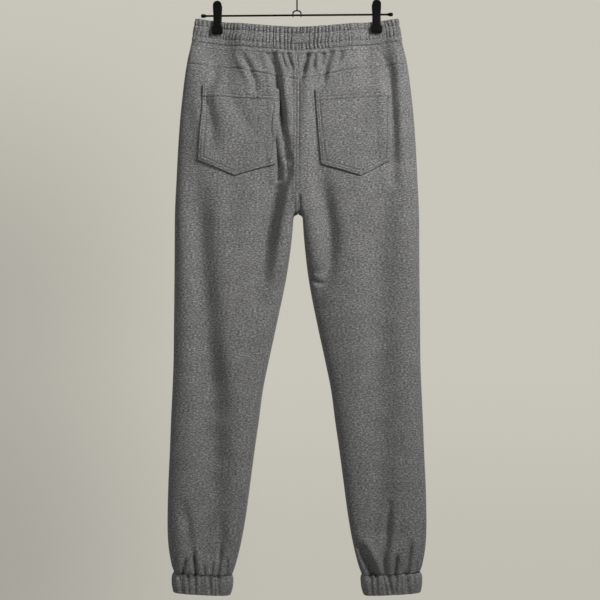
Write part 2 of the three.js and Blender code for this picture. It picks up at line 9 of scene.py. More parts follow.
import bpy
import numpy as np
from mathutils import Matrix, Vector


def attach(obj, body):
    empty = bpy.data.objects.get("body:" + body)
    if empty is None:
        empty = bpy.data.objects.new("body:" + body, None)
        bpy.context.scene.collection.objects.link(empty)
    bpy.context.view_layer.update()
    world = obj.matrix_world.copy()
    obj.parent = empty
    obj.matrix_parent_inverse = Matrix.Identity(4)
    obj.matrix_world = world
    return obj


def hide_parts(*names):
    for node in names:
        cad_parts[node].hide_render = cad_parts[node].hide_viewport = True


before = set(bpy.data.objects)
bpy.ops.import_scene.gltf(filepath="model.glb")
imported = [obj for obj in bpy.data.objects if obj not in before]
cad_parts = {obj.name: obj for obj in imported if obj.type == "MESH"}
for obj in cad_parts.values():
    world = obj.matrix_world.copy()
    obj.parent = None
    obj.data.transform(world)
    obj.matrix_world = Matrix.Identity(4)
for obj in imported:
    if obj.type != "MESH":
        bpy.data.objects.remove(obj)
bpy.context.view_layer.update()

MM = 0.001
BACK, FRONT = -1, 1
LEFT, RIGHT = -1, 1
SIDES = {"left": LEFT, "right": RIGHT}

# Cloth
CLOTH = 2.0
BAND = 3.0
CUFF = 2.4
SEAM_GAP = 0.3
WAIST_TOP = -93.5
BAND_HEIGHT = 39.0
BAND_SEAM = WAIST_TOP - BAND_HEIGHT - SEAM_GAP
YOKE_SIDE = -173.5
SEAT_TOP = -350.0
CROTCH = -432.0
CUFF_SEAM = -1059.0
CUFF_HEIGHT = 33.0

# Cross sections
TORSO_POWER = 3.0
LEG_POWER = 3.2
INNER_POWER = 14.0
PROUD = 8.5  # the most that the roll beside a fold stands out
BRIDGE_POWER = 9
SPLIT_TOP, SPLIT_FOOT = -320.0, -400.0
THIGH_FOOT = -565.0
CROTCH_GAP, CROTCH_FALL = 9.0, 3.0

# How the cloth hangs
WAIST_SAG, SAG_WIDTH = 17.0, 182.0
SAG_TOP, SAG_FOOT = -165.0, -420.0
HEM_TILT, TILT_TOP = 5.0, -900.0
YOKE_DIP, YOKE_DIP_WIDTH, YOKE_HALF_WIDTH, YOKE_LEVEL = 14.0, 110.0, 191.0, -270.0
CENTRE_SHIFT = 3.6  # the centre back seam hangs this far to the right of the middle

# Hanger
ROD_RADIUS, ROD_HALF_LENGTH, ROD_HEIGHT, ROD_RISE = 1.7, 164.2, -86.4, 1.35
CLIP_X = 139.0
JAW_HALF_WIDTH, JAW_FACE = 9.9, 5.7
CLAMPED, CLAMP_REACH, CLAMP_TOP, CLAMP_FOOT = 1.8, 36.0, -125.0, -235.0

SECTION_COLUMNS = ("z", "outer", "inner", "back", "front")
SECTIONS = np.array(
    [
        (-93, 176.5, 0, 15, 14),
        (-115, 180, 0, 16, 15),
        (-137, 184, 0, 18, 16),
        (-165, 190.5, 0, 25, 21),
        (-200, 196, 0, 31, 27),
        (-235, 200, 0, 35, 30),
        (-270, 203.5, 0, 38, 33),
        (-305, 206, 0, 40, 35),
        (-340, 208, 0, 41, 36),
        (-375, 209.5, 0, 42, 37),
        (-432, 212, 0, 42, 38),
        (-480, 212.5, 3, 42, 38),
        (-550, 213, 12, 40, 37),
        (-637, 214, 29.5, 38, 35),
        (-690, 214.5, 41, 37, 34),
        (-742, 216.5, 51.5, 36, 33),
        (-795, 219, 58.5, 35, 32),
        (-847, 221, 66, 34, 31),
        (-900, 223.5, 73, 33, 31),
        (-952, 225, 80, 32, 30),
        (-987, 225, 86, 31, 29),
        (-1013, 223.5, 91.5, 30, 28),
        (-1031, 221, 96, 28, 26),
        (-1048, 217.5, 101, 25, 24),
        (-1059, 214, 105, 23, 22),
        (-1066, 216.5, 104, 24, 23.5),
        (-1080, 216.5, 105.5, 24, 23.5),
        (-1092, 215, 108, 23, 22.5),
    ],
    dtype=float,
)

# Creases, as troughs along a path seen from in front of that face: path, width, depth, share of the
# depth at the head and the tail, and which side the cloth rolls over more (-1 left, 1 right).
BACK_CREASES = [
    # the deep fold left of the centre seam, and the one that goes on from it down the left thigh
    ([(-42, -159), (-38, -188), (-35, -216), (-31, -253), (-27, -291), (-23, -322),
      (-20, -340)], 6.5, 13, 0.6, 0.4, 1),
    ([(-37, -291), (-39, -312), (-38, -329), (-34, -354), (-33, -374)], 5, 8, 0.1, 0.6, 0),
    ([(-31, -329), (-35, -352), (-38, -374), (-43, -404), (-47, -426), (-54, -464), (-60, -507),
      (-66, -550), (-67, -588)], 20, 14, 0.4, 0.3, 1),
    ([(-26, -343), (-31, -374), (-35, -404), (-38, -426), (-45, -464), (-52, -507),
      (-57, -550)], 10, 9, 0.4, 0.2, 1),
    ([(-14, -354), (-18, -374), (-23, -395)], 6, 4, 0.4, 0.3, 0),
    # the fan under the waistband
    ([(-148, -147), (-148, -166)], 4, 2.4, 1, 0, 0),
    ([(-140, -150), (-142, -181), (-146, -219)], 8, 6.5, 0.6, 0.4, 0),
    ([(-95, -159), (-83, -181), (-75, -202), (-71, -224)], 5.5, 6, 0.7, 0.4, -1),
    ([(-52, -159), (-41, -181)], 4, 5, 1, 0, 0),
    ([(-26, -159), (-21, -190)], 3.5, 6, 1, 0, 0),
    ([(-17, -157), (-10, -188)], 3.5, 5, 1, 0, 0),
    ([(19, -160), (11, -179), (4, -203)], 4.5, 7.5, 1, 0.3, 1),
    ([(30, -160), (24, -188)], 3.5, 4, 1, 0, 0),
    ([(46, -159), (41, -186)], 4, 6, 1, 0, 0),
    ([(56, -155), (50, -181), (46, -198), (44, -216)], 5.5, 6.5, 0.8, 0.1, 1),
    ([(76, -155), (73, -176)], 4, 3.4, 1, 0, 0),
    ([(97, -153), (95, -174)], 4, 1.6, 1, 0, 0),
    ([(126, -148), (131, -172)], 3.5, 4.5, 1, 0, 0),
    ([(145, -148), (155, -171)], 3.5, 5.5, 1, 0, 0),
    ([(135, -148), (141, -167)], 3.5, 3, 1, 0, 0),
    # beside the right clip and on down the right leg
    ([(146, -141), (153, -164), (160, -188), (163, -226), (166, -278), (167, -329),
      (167, -378)], 9, 11, 0.8, 0.4, 0),
    ([(155, -352), (151, -412), (146, -481), (144, -567), (144, -671), (144, -757), (144, -878),
      (144, -981)], 25, 10, 0.6, 0.7, 0),
    # across the left pocket and down the left leg
    ([(-158, -216), (-153, -253), (-146, -291), (-142, -326)], 11, 5.5, 0.6, 0.4, 0),
    ([(-123, -222), (-98, -262), (-75, -302)], 11, 2.6, 0.3, 0.1, 0),
    ([(-178, -354), (-173, -395), (-168, -455), (-165, -519), (-158, -588), (-153, -662),
      (-147, -723)], 19, 12, 0.2, 0.4, 0),
    ([(-162, -602), (-151, -705), (-148, -774), (-145, -843), (-146, -930),
      (-150, -1019)], 24, 13, 0.1, 0.8, 0),
    # beside the crotch and inside the right thigh
    ([(2, -398), (4, -417), (4, -436)], 3.5, 8, 0, 1, 0),
    ([(-4, -416), (-6, -438)], 4, 5, 0, 1, 0),
    ([(40, -348), (45, -386), (49, -421), (56, -464), (56, -507), (49, -550),
      (38, -593)], 14, 13, 0.1, 0.2, -1),
    ([(16, -205), (12, -257), (10, -326), (10, -386), (17, -433), (28, -481),
      (36, -519)], 11, -7, 0.6, 0.5, 0),
    ([(21, -547), (35, -554), (50, -555)], 4, 5, 0.3, 0.2, 0),
    # above the left cuff
    ([(-196, -938), (-190, -967), (-186, -1007), (-184, -1036)], 9, 6, 0.3, 0.5, 0),
    ([(-179, -1019), (-177, -1040), (-175, -1061)], 3.6, 8, 0.2, 1, 0),
    ([(-128, -964), (-132, -999), (-135, -1026)], 9, 4, 0.3, 0.4, 0),
    ([(-191, -1030), (-196, -1047), (-197, -1061)], 3.4, 6, 0, 1, 0),
    ([(-209, -1030), (-211, -1054)], 3, 3, 0, 1, 0),
    ([(-162, -1040), (-161, -1061)], 3.5, 2.6, 0, 1, 0),
    ([(-145, -1035), (-147, -1061)], 3.5, 3.4, 0, 1, 0),
    ([(-132, -1012), (-133, -1036), (-137, -1061)], 3.8, 5.5, 0.3, 1, 0),
    ([(-122, -1026), (-124, -1061)], 4, 3.4, 0, 1, 0),
    # above the right cuff
    ([(97, -995), (109, -1023), (119, -1043), (128, -1062)], 4.5, 6, 0.1, 1, 0),
    ([(108, -1002), (119, -1026), (129, -1045), (137, -1064)], 6, 12, 0.1, 1, 1),
    ([(160, -938), (158, -973), (154, -1011), (150, -1033), (150, -1062)], 6, 8, 0.3, 1, 0),
    ([(173, -1023), (170, -1062)], 4, 5.5, 0, 1, 0),
    ([(182, -1040), (182, -1062)], 3.5, 2.6, 0, 1, 0),
    ([(197, -995), (194, -1026), (188, -1061)], 5.5, 6.5, 0, 1, 0),
    ([(208, -1036), (206, -1059)], 3.5, 2.6, 0, 1, 0),
]
FRONT_CREASES = [
    ([(-100, -140), (-88, -175), (-82, -230)], 7, 3.6, 0.8, 0, 0),
    ([(-62, -142), (-50, -180), (-36, -245)], 8, 4.6, 1, 0, 1),
    ([(-40, -143), (-34, -172)], 4, 2.2, 1, 0, 0),
    ([(-22, -144), (-17, -190), (-9, -262)], 8, 5, 1, 0, -1),
    ([(-8, -145), (-4, -172)], 4, 2, 1, 0, 0),
    ([(16, -144), (12, -176)], 4, 2.4, 1, 0, 0),
    ([(34, -143), (27, -190), (20, -250), (13, -312)], 8, 6, 0.9, 0, 1),
    ([(52, -142), (48, -168)], 4, 2, 1, 0, 0),
    ([(84, -141), (75, -180), (66, -225)], 7, 4, 1, 0, 0),
    ([(112, -140), (107, -170), (104, -205)], 7, 3, 1, 0, 0),
    ([(-148, -136), (-152, -170), (-156, -230)], 8, 3, 0.6, 0, 0),
    ([(150, -134), (156, -180), (160, -260)], 8, 3.4, 0.6, 0, 0),
    ([(-45, -300), (-42, -380), (-52, -470), (-60, -600)], 13, 6.5, 0, 0, 1),
    ([(42, -330), (40, -400), (52, -500), (62, -620)], 13, 6.5, 0, 0, -1),
    ([(-7, -370), (-8, -431)], 6, 3.5, 0, 1, 0),
    ([(6, -370), (8, -431)], 6, 3.5, 0, 1, 0),
    ([(-150, -480), (-160, -600), (-150, -720)], 20, 3, 0, 0, 0),
    ([(-150, -720), (-142, -870), (-150, -1000)], 18, 3.4, 0, 0, 0),
    ([(150, -520), (160, -640), (150, -780)], 20, 3, 0, 0, 0),
    ([(140, -780), (152, -900), (160, -1020)], 18, 3.6, 0, 0, 0),
    ([(-196, -1010), (-192, -1060)], 6, 3.4, 0, 1, 0),
    ([(-178, -1034), (-178, -1060)], 4.5, 2.2, 0, 1, 0),
    ([(-163, -1016), (-165, -1060)], 5, 3.4, 0, 1, 0),
    ([(-138, -1000), (-145, -1060)], 6, 3.8, 0, 1, 0),
    ([(-124, -1036), (-127, -1060)], 4.5, 2.4, 0, 1, 0),
    ([(126, -1030), (129, -1060)], 4.5, 2.4, 0, 1, 0),
    ([(136, -1004), (143, -1060)], 6, 3.6, 0, 1, 0),
    ([(164, -1000), (166, -1060)], 6, 3.8, 0, 1, 0),
    ([(184, -1034), (183, -1060)], 4.5, 2.2, 0, 1, 0),
    ([(201, -1016), (196, -1060)], 5, 3.2, 0, 1, 0),
]


def clamp01(value):
    return np.clip(value, 0, 1)


def fade(start, end, value):
    t = clamp01((np.asarray(value, float) - start) / (end - start))
    return t * t * (3 - 2 * t)


def mix(a, b, share):
    return a + (b - a) * share


def superellipse(t, power):
    return (1 - clamp01(t) ** power) ** (1 / power)


def lattice(ix, iy, seed):
    """A repeatable random number from -1 to 1 for each cell."""
    n = (ix * 374761393 + iy * 668265263 + seed * 974634777) & 0xFFFFFFFF
    n = ((n ^ (n >> 13)) * 1274126177) & 0xFFFFFFFF
    return ((n ^ (n >> 16)) & 0xFFFF) / 32767.5 - 1


def noise(x, y, seed):
    """Smooth noise from -1 to 1, with one swing to a unit."""
    x, y = np.broadcast_arrays(np.asarray(x, float), np.asarray(y, float))
    ix, iy = np.floor(x).astype(np.int64), np.floor(y).astype(np.int64)
    fx, fy = x - ix, y - iy
    fx, fy = fx * fx * (3 - 2 * fx), fy * fy * (3 - 2 * fy)
    low = mix(lattice(ix, iy, seed), lattice(ix + 1, iy, seed), fx)
    high = mix(lattice(ix, iy + 1, seed), lattice(ix + 1, iy + 1, seed), fx)
    return mix(low, high, fy)


def section(column, z):
    """One column of the section table at each height, on a smooth curve through its rows."""
    k = SECTION_COLUMNS.index(column)
    heights, values = SECTIONS[:, 0], SECTIONS[:, k]
    last = len(heights) - 1
    i = np.clip(np.searchsorted(-heights, -np.asarray(z, float), side="left") - 1, 0, last - 1)
    up, down = np.maximum(i - 1, 0), np.minimum(i + 2, last)
    span = heights[i + 1] - heights[i]
    rise = values[i + 1] - values[i]
    slope_a = (values[i + 1] - values[up]) / (heights[i + 1] - heights[up])
    slope_b = (values[down] - values[i]) / (heights[down] - heights[i])
    t = clamp01((z - heights[i]) / span)
    swing = (1 - t) * (slope_a * span - rise) - t * (slope_b * span - rise)
    return values[i] + t * rise + t * (1 - t) * swing


def smooth_path(points, per_step=4):
    """More points on a smooth curve through a few."""
    p = np.array(points, float)
    if len(p) < 3:
        return p
    ends = np.vstack([2 * p[0] - p[1], p, 2 * p[-1] - p[-2]])
    made = [p[0]]
    for i in range(1, len(p)):
        a, b, c, d = ends[i - 1], ends[i], ends[i + 1], ends[i + 2]
        for t in np.arange(1, per_step + 1) / per_step:
            square, cube = 2 * a - 5 * b + 4 * c - d, 3 * b - a - 3 * c + d
            made.append(0.5 * (2 * b + (c - a) * t + square * t**2 + cube * t**3))
    return np.array(made)


CREASE_REACH, ROLL, ROLL_AT = 4, 0.36, 1.9  # in widths of the crease, and as a share of its depth


def crease_depth(creases, x, z):
    """How far the creases push in the cloth at each point of one face."""
    depth = np.zeros(np.broadcast(x, z).shape)
    for path, width, deep, head, tail, roll in creases:
        p = smooth_path(path)
        reach = CREASE_REACH * width
        near = (
            (x > p[:, 0].min() - reach)
            & (x < p[:, 0].max() + reach)
            & (z > p[:, 1].min() - reach)
            & (z < p[:, 1].max() + reach)
        )
        if not near.any():
            continue
        px, pz = x[near], z[near]
        lengths = np.hypot(*np.diff(p, axis=0).T)
        total = lengths.sum()
        best = np.full(px.shape, np.inf)
        signed = np.zeros(px.shape)
        along = np.zeros(px.shape)
        done = 0.0
        for i, length in enumerate(lengths):
            (ax, az), (bx, bz) = p[i], p[i + 1]
            t = clamp01(((px - ax) * (bx - ax) + (pz - az) * (bz - az)) / length**2)
            dx, dz = px - ax - t * (bx - ax), pz - az - t * (bz - az)
            far = np.hypot(dx, dz)
            closer = far < best
            best = np.where(closer, far, best)
            turn = np.sign(dz * (bx - ax) - dx * (bz - az))
            signed = np.where(closer, turn * far, signed)
            along = np.where(closer, (done + t * length) / total, along)
            done += length
        off = signed / width
        ends = mix(head, 1, fade(0, 0.3, along)) * mix(tail, 1, fade(1, 0.55, along))
        uneven = 1 + 0.18 * noise(along * total / 28, 0.5, int(abs(p[0, 0])) + 7)
        rolls = ROLL * (1 + 0.6 * roll) * np.exp(-((off - ROLL_AT) ** 2))
        rolls += ROLL * (1 - 0.6 * roll) * np.exp(-((off + ROLL_AT) ** 2))
        depth[near] += deep * ends * uneven * (np.exp(-off * off) - rolls)
    return depth


def yoke_seam(across):
    x = YOKE_HALF_WIDTH * (1 - across)
    return YOKE_SIDE - YOKE_DIP * clamp01(1 - x / YOKE_DIP_WIDTH) ** 1.2


def groove(distance, depth=1.1, width=2.2):
    """The dip beside a seam and the slight roll next to it."""
    away = distance / width
    return depth * (np.exp(-(away**2)) - 0.4 * np.exp(-((away - 2.6) ** 2)))


ROW_BELOW_BAND = 8.0
FELL_ROWS = (4.3, 9.6)  # from the centre seam to its two rows of stitching


def row_dip(distance):
    """The narrow dip along a row of stitching."""
    return 0.9 * np.exp(-((distance / 1.0) ** 2))


def body(face, side, across, z):
    """Points of the cloth's middle. across is 0 at the side seam and 1 at the centre seam or inseam."""
    across, z = np.broadcast_arrays(np.asarray(across, float), np.asarray(z, float))
    outer = section("outer", z)
    parted = CROTCH_GAP * (1 - np.exp(np.minimum(0, z - CROTCH) / CROTCH_FALL))
    inner = np.maximum(SEAM_GAP / 2, np.where(z < CROTCH, section("inner", z) + parted, 0))
    x = side * mix(outer, inner, across)

    fallen = clamp01((SEAT_TOP - z) / (SEAT_TOP - CROTCH))
    bridge = np.sqrt(1 - fallen**BRIDGE_POWER)
    power = np.where(across < 0.5, LEG_POWER, mix(LEG_POWER, INNER_POWER, fade(THIGH_FOOT, CROTCH, z)))
    leg = superellipse(np.abs(2 * across - 1), power)
    saddle = np.where(across < 0.5, leg, mix(bridge, 1, leg))
    torso = superellipse(1 - across, TORSO_POWER)
    roundness = mix(torso, saddle, fade(SPLIT_TOP, SPLIT_FOOT, z))

    sag = WAIST_SAG * (1 - clamp01(np.abs(x) / SAG_WIDTH) ** 1.5)
    sag_share = clamp01((z - SAG_FOOT) / (SAG_TOP - SAG_FOOT))
    tilt = HEM_TILT * across * fade(TILT_TOP, CUFF_SEAM, z)
    hung = z - sag * sag_share - tilt
    shift = CENTRE_SHIFT * fade(0.6, 1, across) * fade(-140, -175, z) * mix(0.5, 1, fade(CROTCH, -260, z))
    shift = shift * fade(CROTCH - 200, CROTCH, z)

    in_band = fade(BAND_SEAM - 5, BAND_SEAM, z)
    in_cuff = fade(CUFF_SEAM, CUFF_SEAM - 3, z)
    pressed = (1 - in_band) * (1 - in_cuff)
    folds = crease_depth(BACK_CREASES if face == BACK else FRONT_CREASES, x, hung)
    seed = 11 if face == BACK else 47
    folds = folds + 1.3 * noise(x / 46, hung / 85, seed) + 0.5 * noise(x / 17, hung / 30, seed + 1)
    pucker = np.exp(-np.maximum(0, BAND_SEAM - z) / 15)
    folds = folds + 1.5 * pucker * noise(x / 3.4, hung / 60, seed + 2)
    drawn = np.exp(-np.maximum(0, z - CUFF_SEAM) / 9)
    folds = folds + 1.3 * drawn * noise(x / 4, hung / 60, seed + 3)
    folds = folds + groove(np.abs(BAND_SEAM - z), 0.9, 2) + groove(np.abs(z - CUFF_SEAM), 1.0, 2.2)
    if face == BACK:
        folds = folds + groove(np.abs(z - yoke_seam(across)), 1.7, 1.5)
        folds = folds + row_dip(BAND_SEAM - ROW_BELOW_BAND - z)
        folds = folds + groove(np.abs(x), 0.9, 1.5) * fade(CROTCH, SEAT_TOP, z)
        if side == LEFT:
            rows = row_dip(np.abs(x) - FELL_ROWS[0]) + row_dip(np.abs(x) - FELL_ROWS[1])
            felled = fade(10.8, 9.4, np.abs(x)) - 1.6 * rows
            folds = folds - 0.9 * felled * fade(CROTCH, CROTCH + 20, z)
    else:
        folds = folds + groove(np.abs(x), 0.9, 2) * fade(CROTCH, SEAT_TOP, z)
    folds = np.maximum(folds, -PROUD * np.tanh(-folds / PROUD))
    folds = folds * np.minimum(1, 1.5 * roundness) * pressed

    near_clip = 1 - fade(JAW_HALF_WIDTH, JAW_HALF_WIDTH + CLAMP_REACH, np.abs(np.abs(x) - CLIP_X))
    clamped = near_clip * fade(CLAMP_FOOT, CLAMP_TOP, z)
    depth = section("back" if face == BACK else "front", z) * roundness
    out = mix(depth - folds, np.minimum(depth, CLAMPED), clamped)
    y = face * np.maximum(SEAM_GAP / 2, out)
    return np.stack([x + shift, y, hung], axis=-1)


def outward(face, side, across, z):
    """The way out of the cloth. At a seam it stays in the seam's own plane."""
    across, z = np.broadcast_arrays(np.asarray(across, float), np.asarray(z, float))
    step, rise = 0.003, 0.6
    near, far = np.maximum(0, across - step), np.minimum(1, across + step)
    along = body(face, side, far, z) - body(face, side, near, z)
    down = body(face, side, across, z - rise) - body(face, side, across, z + rise)
    normal = np.cross(along, down) * (-face * side)
    level = ((z >= BAND_SEAM - 0.01) & (z <= BAND_SEAM + SEAM_GAP + 0.01)) | (
        (z <= CUFF_SEAM + 0.01) & (z >= CUFF_SEAM - SEAM_GAP - 0.01)
    )
    normal[..., 2] = np.where(level, 0, normal[..., 2])
    normal[..., 1] = np.where((across == 0) | ((across == 1) & (z < CROTCH)), 0, normal[..., 1])
    normal[..., 0] = np.where((across == 1) & (z > CROTCH), 0, normal[..., 0])
    at_crotch = (across == 1) & (z == CROTCH)
    normal[at_crotch] = (0, 0, -1)
    return normal / np.linalg.norm(normal, axis=-1, keepdims=True)


def skin(face, side, across, z, distance):
    return body(face, side, across, z) + outward(face, side, across, z) * np.asarray(distance)[..., None]


# Mesh making


def unit(v):
    return v / np.maximum(np.linalg.norm(v, axis=-1, keepdims=True), 1e-12)


def mesh_object(name, points, faces, uv=None, smooth=True):
    """An object from points in millimetres, faces, and one uv in metres for each point."""
    mesh = bpy.data.meshes.new(name)
    mesh.from_pydata((np.asarray(points) * MM).tolist(), [], [list(f) for f in faces])
    if uv is not None:
        layer = mesh.uv_layers.new(name="UVMap")
        index = np.empty(len(mesh.loops), np.int32)
        mesh.loops.foreach_get("vertex_index", index)
        layer.data.foreach_set("uv", (np.asarray(uv)[index] * MM).astype(np.float32).ravel())
    mesh.polygons.foreach_set("use_smooth", [smooth] * len(mesh.polygons))
    mesh.update()
    obj = bpy.data.objects.new(name, mesh)
    bpy.context.scene.collection.objects.link(obj)
    return obj


def face_out(points, faces):
    """The faces, turned round if they face in."""
    tri = np.array([f[:3] for f in faces])
    a, b, c = points[tri[:, 0]], points[tri[:, 1]], points[tri[:, 2]]
    volume = np.einsum("ij,ij->i", a, np.cross(b, c)).sum()
    return [f[::-1] for f in faces] if volume < 0 else faces


def arc_uv(grid):
    """Lengths along the rows and columns of a grid of points, measured from its middle column."""
    steps = np.linalg.norm(np.diff(grid, axis=1), axis=-1)
    across = np.concatenate([np.zeros((grid.shape[0], 1)), np.cumsum(steps, axis=1)], axis=1)
    across -= across[:, across.shape[1] // 2][:, None]
    steps = np.linalg.norm(np.diff(grid, axis=0), axis=-1)
    down = np.concatenate([np.zeros((1, grid.shape[1])), np.cumsum(steps, axis=0)])
    return np.stack([across, -down], axis=-1)


def grid_faces(rows, columns, start=0, flip=False):
    r, c = np.meshgrid(np.arange(rows - 1), np.arange(columns - 1), indexing="ij")
    a = (start + r * columns + c).ravel()
    quads = np.stack([a, a + 1, a + columns + 1, a + columns], axis=1)
    return (quads[:, ::-1] if flip else quads).tolist()


def barrel_faces(rings, sides, closed=False):
    """Faces between rings of points, with a cap at each end unless the last ring joins the first."""
    faces = []
    for i in range(rings if closed else rings - 1):
        for j in range(sides):
            k, m = (j + 1) % sides, (i + 1) % rings
            faces.append((i * sides + j, i * sides + k, m * sides + k, m * sides + j))
    if not closed:
        faces.append(tuple(range(sides))[::-1])
        faces.append(tuple((rings - 1) * sides + j for j in range(sides)))
    return faces


def shell(name, outer, inner, seed=0):
    """A wall of cloth between two grids of points, closed round its edges."""
    rows, columns = outer.shape[:2]
    count = rows * columns
    points = np.vstack([outer.reshape(-1, 3), inner.reshape(-1, 3)])
    faces = grid_faces(rows, columns) + grid_faces(rows, columns, count, flip=True)
    edge = np.concatenate(
        [
            np.arange(columns),
            np.arange(1, rows) * columns + columns - 1,
            (rows - 1) * columns + np.arange(columns - 2, -1, -1),
            np.arange(rows - 2, 0, -1) * columns,
        ]
    )
    nxt = np.roll(edge, -1)
    faces += np.stack([edge, edge + count, nxt + count, nxt], axis=1).tolist()
    uv = arc_uv(outer).reshape(-1, 2) + (137.0 * seed, 61.0 * seed)
    faces = face_out(points, faces)
    return mesh_object(name, points, faces, np.vstack([uv, uv]))


def spaced(stops, counts):
    """Values from each stop to the next, with that many steps between them."""
    parts = [np.linspace(a, b, n, endpoint=False) for a, b, n in zip(stops, stops[1:], counts)]
    return np.concatenate([*parts, [stops[-1]]])


def columns_across(count):
    t = np.linspace(0, 1, count)
    return mix(t, (1 - np.cos(np.pi * t)) / 2, 0.7)


def panel(name, face, side, heights, across, seed):
    """heights is a grid of heights, one row for each row of the panel."""
    outer = skin(face, side, across[None, :], heights, np.full(heights.shape, CLOTH / 2))
    inner = skin(face, side, across[None, :], heights, np.full(heights.shape, -CLOTH / 2))
    return shell(name, outer, inner, seed)


def below_yoke(levels, across):
    share = clamp01((levels - YOKE_LEVEL) / (YOKE_SIDE - YOKE_LEVEL))
    return levels[:, None] + (yoke_seam(across)[None, :] - YOKE_SIDE) * share[:, None]


# Gathered bands


def places_round(stretches, z, count):
    """Places spaced evenly round a ring of cloth: face, side, across, and the length round to each."""
    t = (1 - np.cos(np.pi * np.linspace(0, 1, 1500))) / 2
    face = np.concatenate([np.full(t.shape, f) for f, _, _, _ in stretches])
    side = np.concatenate([np.full(t.shape, s) for _, s, _, _ in stretches])
    across = np.concatenate([mix(a, b, t) for _, _, a, b in stretches])
    points = np.concatenate([body(f, s, mix(a, b, t), np.full(t.shape, z)) for f, s, a, b in stretches])
    steps = np.linalg.norm(np.diff(points, axis=0), axis=1)
    along = np.concatenate([[0], np.cumsum(steps)])
    total = along[-1] + np.linalg.norm(points[0] - points[-1])
    wanted = total * np.arange(count) / count
    index = np.clip(np.searchsorted(along, wanted, side="right") - 1, 0, len(along) - 2)
    share = clamp01((wanted - along[index]) / np.maximum(along[index + 1] - along[index], 1e-9))
    same = (face[index] == face[index + 1]) & (side[index] == side[index + 1])
    place = np.where(same, mix(across[index], across[index + 1], share), across[index])
    return face[index], side[index], place, wanted, total


def on_places(faces, sides, across, z, distance):
    made = np.empty(across.shape + (3,))
    for f in (BACK, FRONT):
        for s in (LEFT, RIGHT):
            chosen = (faces == f) & (sides == s)
            if chosen.any():
                made[chosen] = skin(f, s, across[chosen], z[chosen], distance[chosen])
    return made


def ring(name, faces, sides, across, wanted, profile, seed):
    """profile is a list of (drop, distance) arrays that run round the band's cross section."""
    loops = []
    for z, distance in profile:
        z = np.broadcast_to(z, across.shape).astype(float)
        distance = np.broadcast_to(distance, across.shape).astype(float)
        loops.append(on_places(faces, sides, across, z, distance))
    grid = np.array(loops)
    rows, columns = grid.shape[:2]
    r, c = np.meshgrid(np.arange(rows), np.arange(columns), indexing="ij")
    a = r * columns + c
    b = r * columns + (c + 1) % columns
    d = ((r + 1) % rows) * columns + c
    e = ((r + 1) % rows) * columns + (c + 1) % columns
    quads = np.stack([a, b, e, d], axis=-1).reshape(-1, 4).tolist()
    points = grid.reshape(-1, 3)
    down = np.cumsum(np.linalg.norm(np.diff(grid, axis=0, prepend=grid[:1]), axis=-1), axis=0)
    uv = np.stack([np.broadcast_to(wanted, down.shape) + 91.0 * seed, down + 37.0 * seed], axis=-1)
    return mesh_object(name, points, face_out(points, quads), uv.reshape(-1, 2)), grid


WAIST_ROUND = [(BACK, LEFT, 0, 1), (BACK, RIGHT, 1, 0), (FRONT, RIGHT, 0, 1), (FRONT, LEFT, 1, 0)]
BAND_STITCHES = (10.7, 29.1, 38.0)
CHANNELS = ((0, 10.7, 1.2), (10.7, 29.1, 1.7), (29.1, 39.0, 0.5))  # from, to, puff
BAND_POINTS, CUFF_POINTS = 1760, 420  # round each ring
BAND_GATHERS, CUFF_GATHERS = 116, 15
GATHER_DEPTH, CUFF_GATHER_DEPTH, CUFF_PUFF = 4.0, 2.2, 1.3
FLAT_PATCH, FLAT_MIDDLE = 12.5, 5.8


def gather_waves(phase, channel, seed, jitter=0.27, sharp=0.8):
    """Uneven gathers, one to a unit of phase: 0 on a rounded ridge and down to -1 in a sharp valley."""
    k = np.floor(phase).astype(np.int64)
    row = channel * np.ones_like(k)

    def valley(n):
        return n + 0.5 + jitter * lattice(n, row, seed), 0.78 + 0.22 * lattice(n, row, seed + 5)

    at, deep = valley(k)
    before, deep_before = valley(k - 1)
    after, deep_after = valley(k + 1)
    past = phase >= at
    left, deep_left = np.where(past, at, before), np.where(past, deep, deep_before)
    right, deep_right = np.where(past, after, at), np.where(past, deep_after, deep)
    u = clamp01((phase - left) / (right - left))
    fall_left = 1 - np.sin(np.pi * np.minimum(u, 0.5)) ** sharp
    fall_right = 1 - np.sin(np.pi * np.minimum(1 - u, 0.5)) ** sharp
    return -deep_left * fall_left - deep_right * fall_right


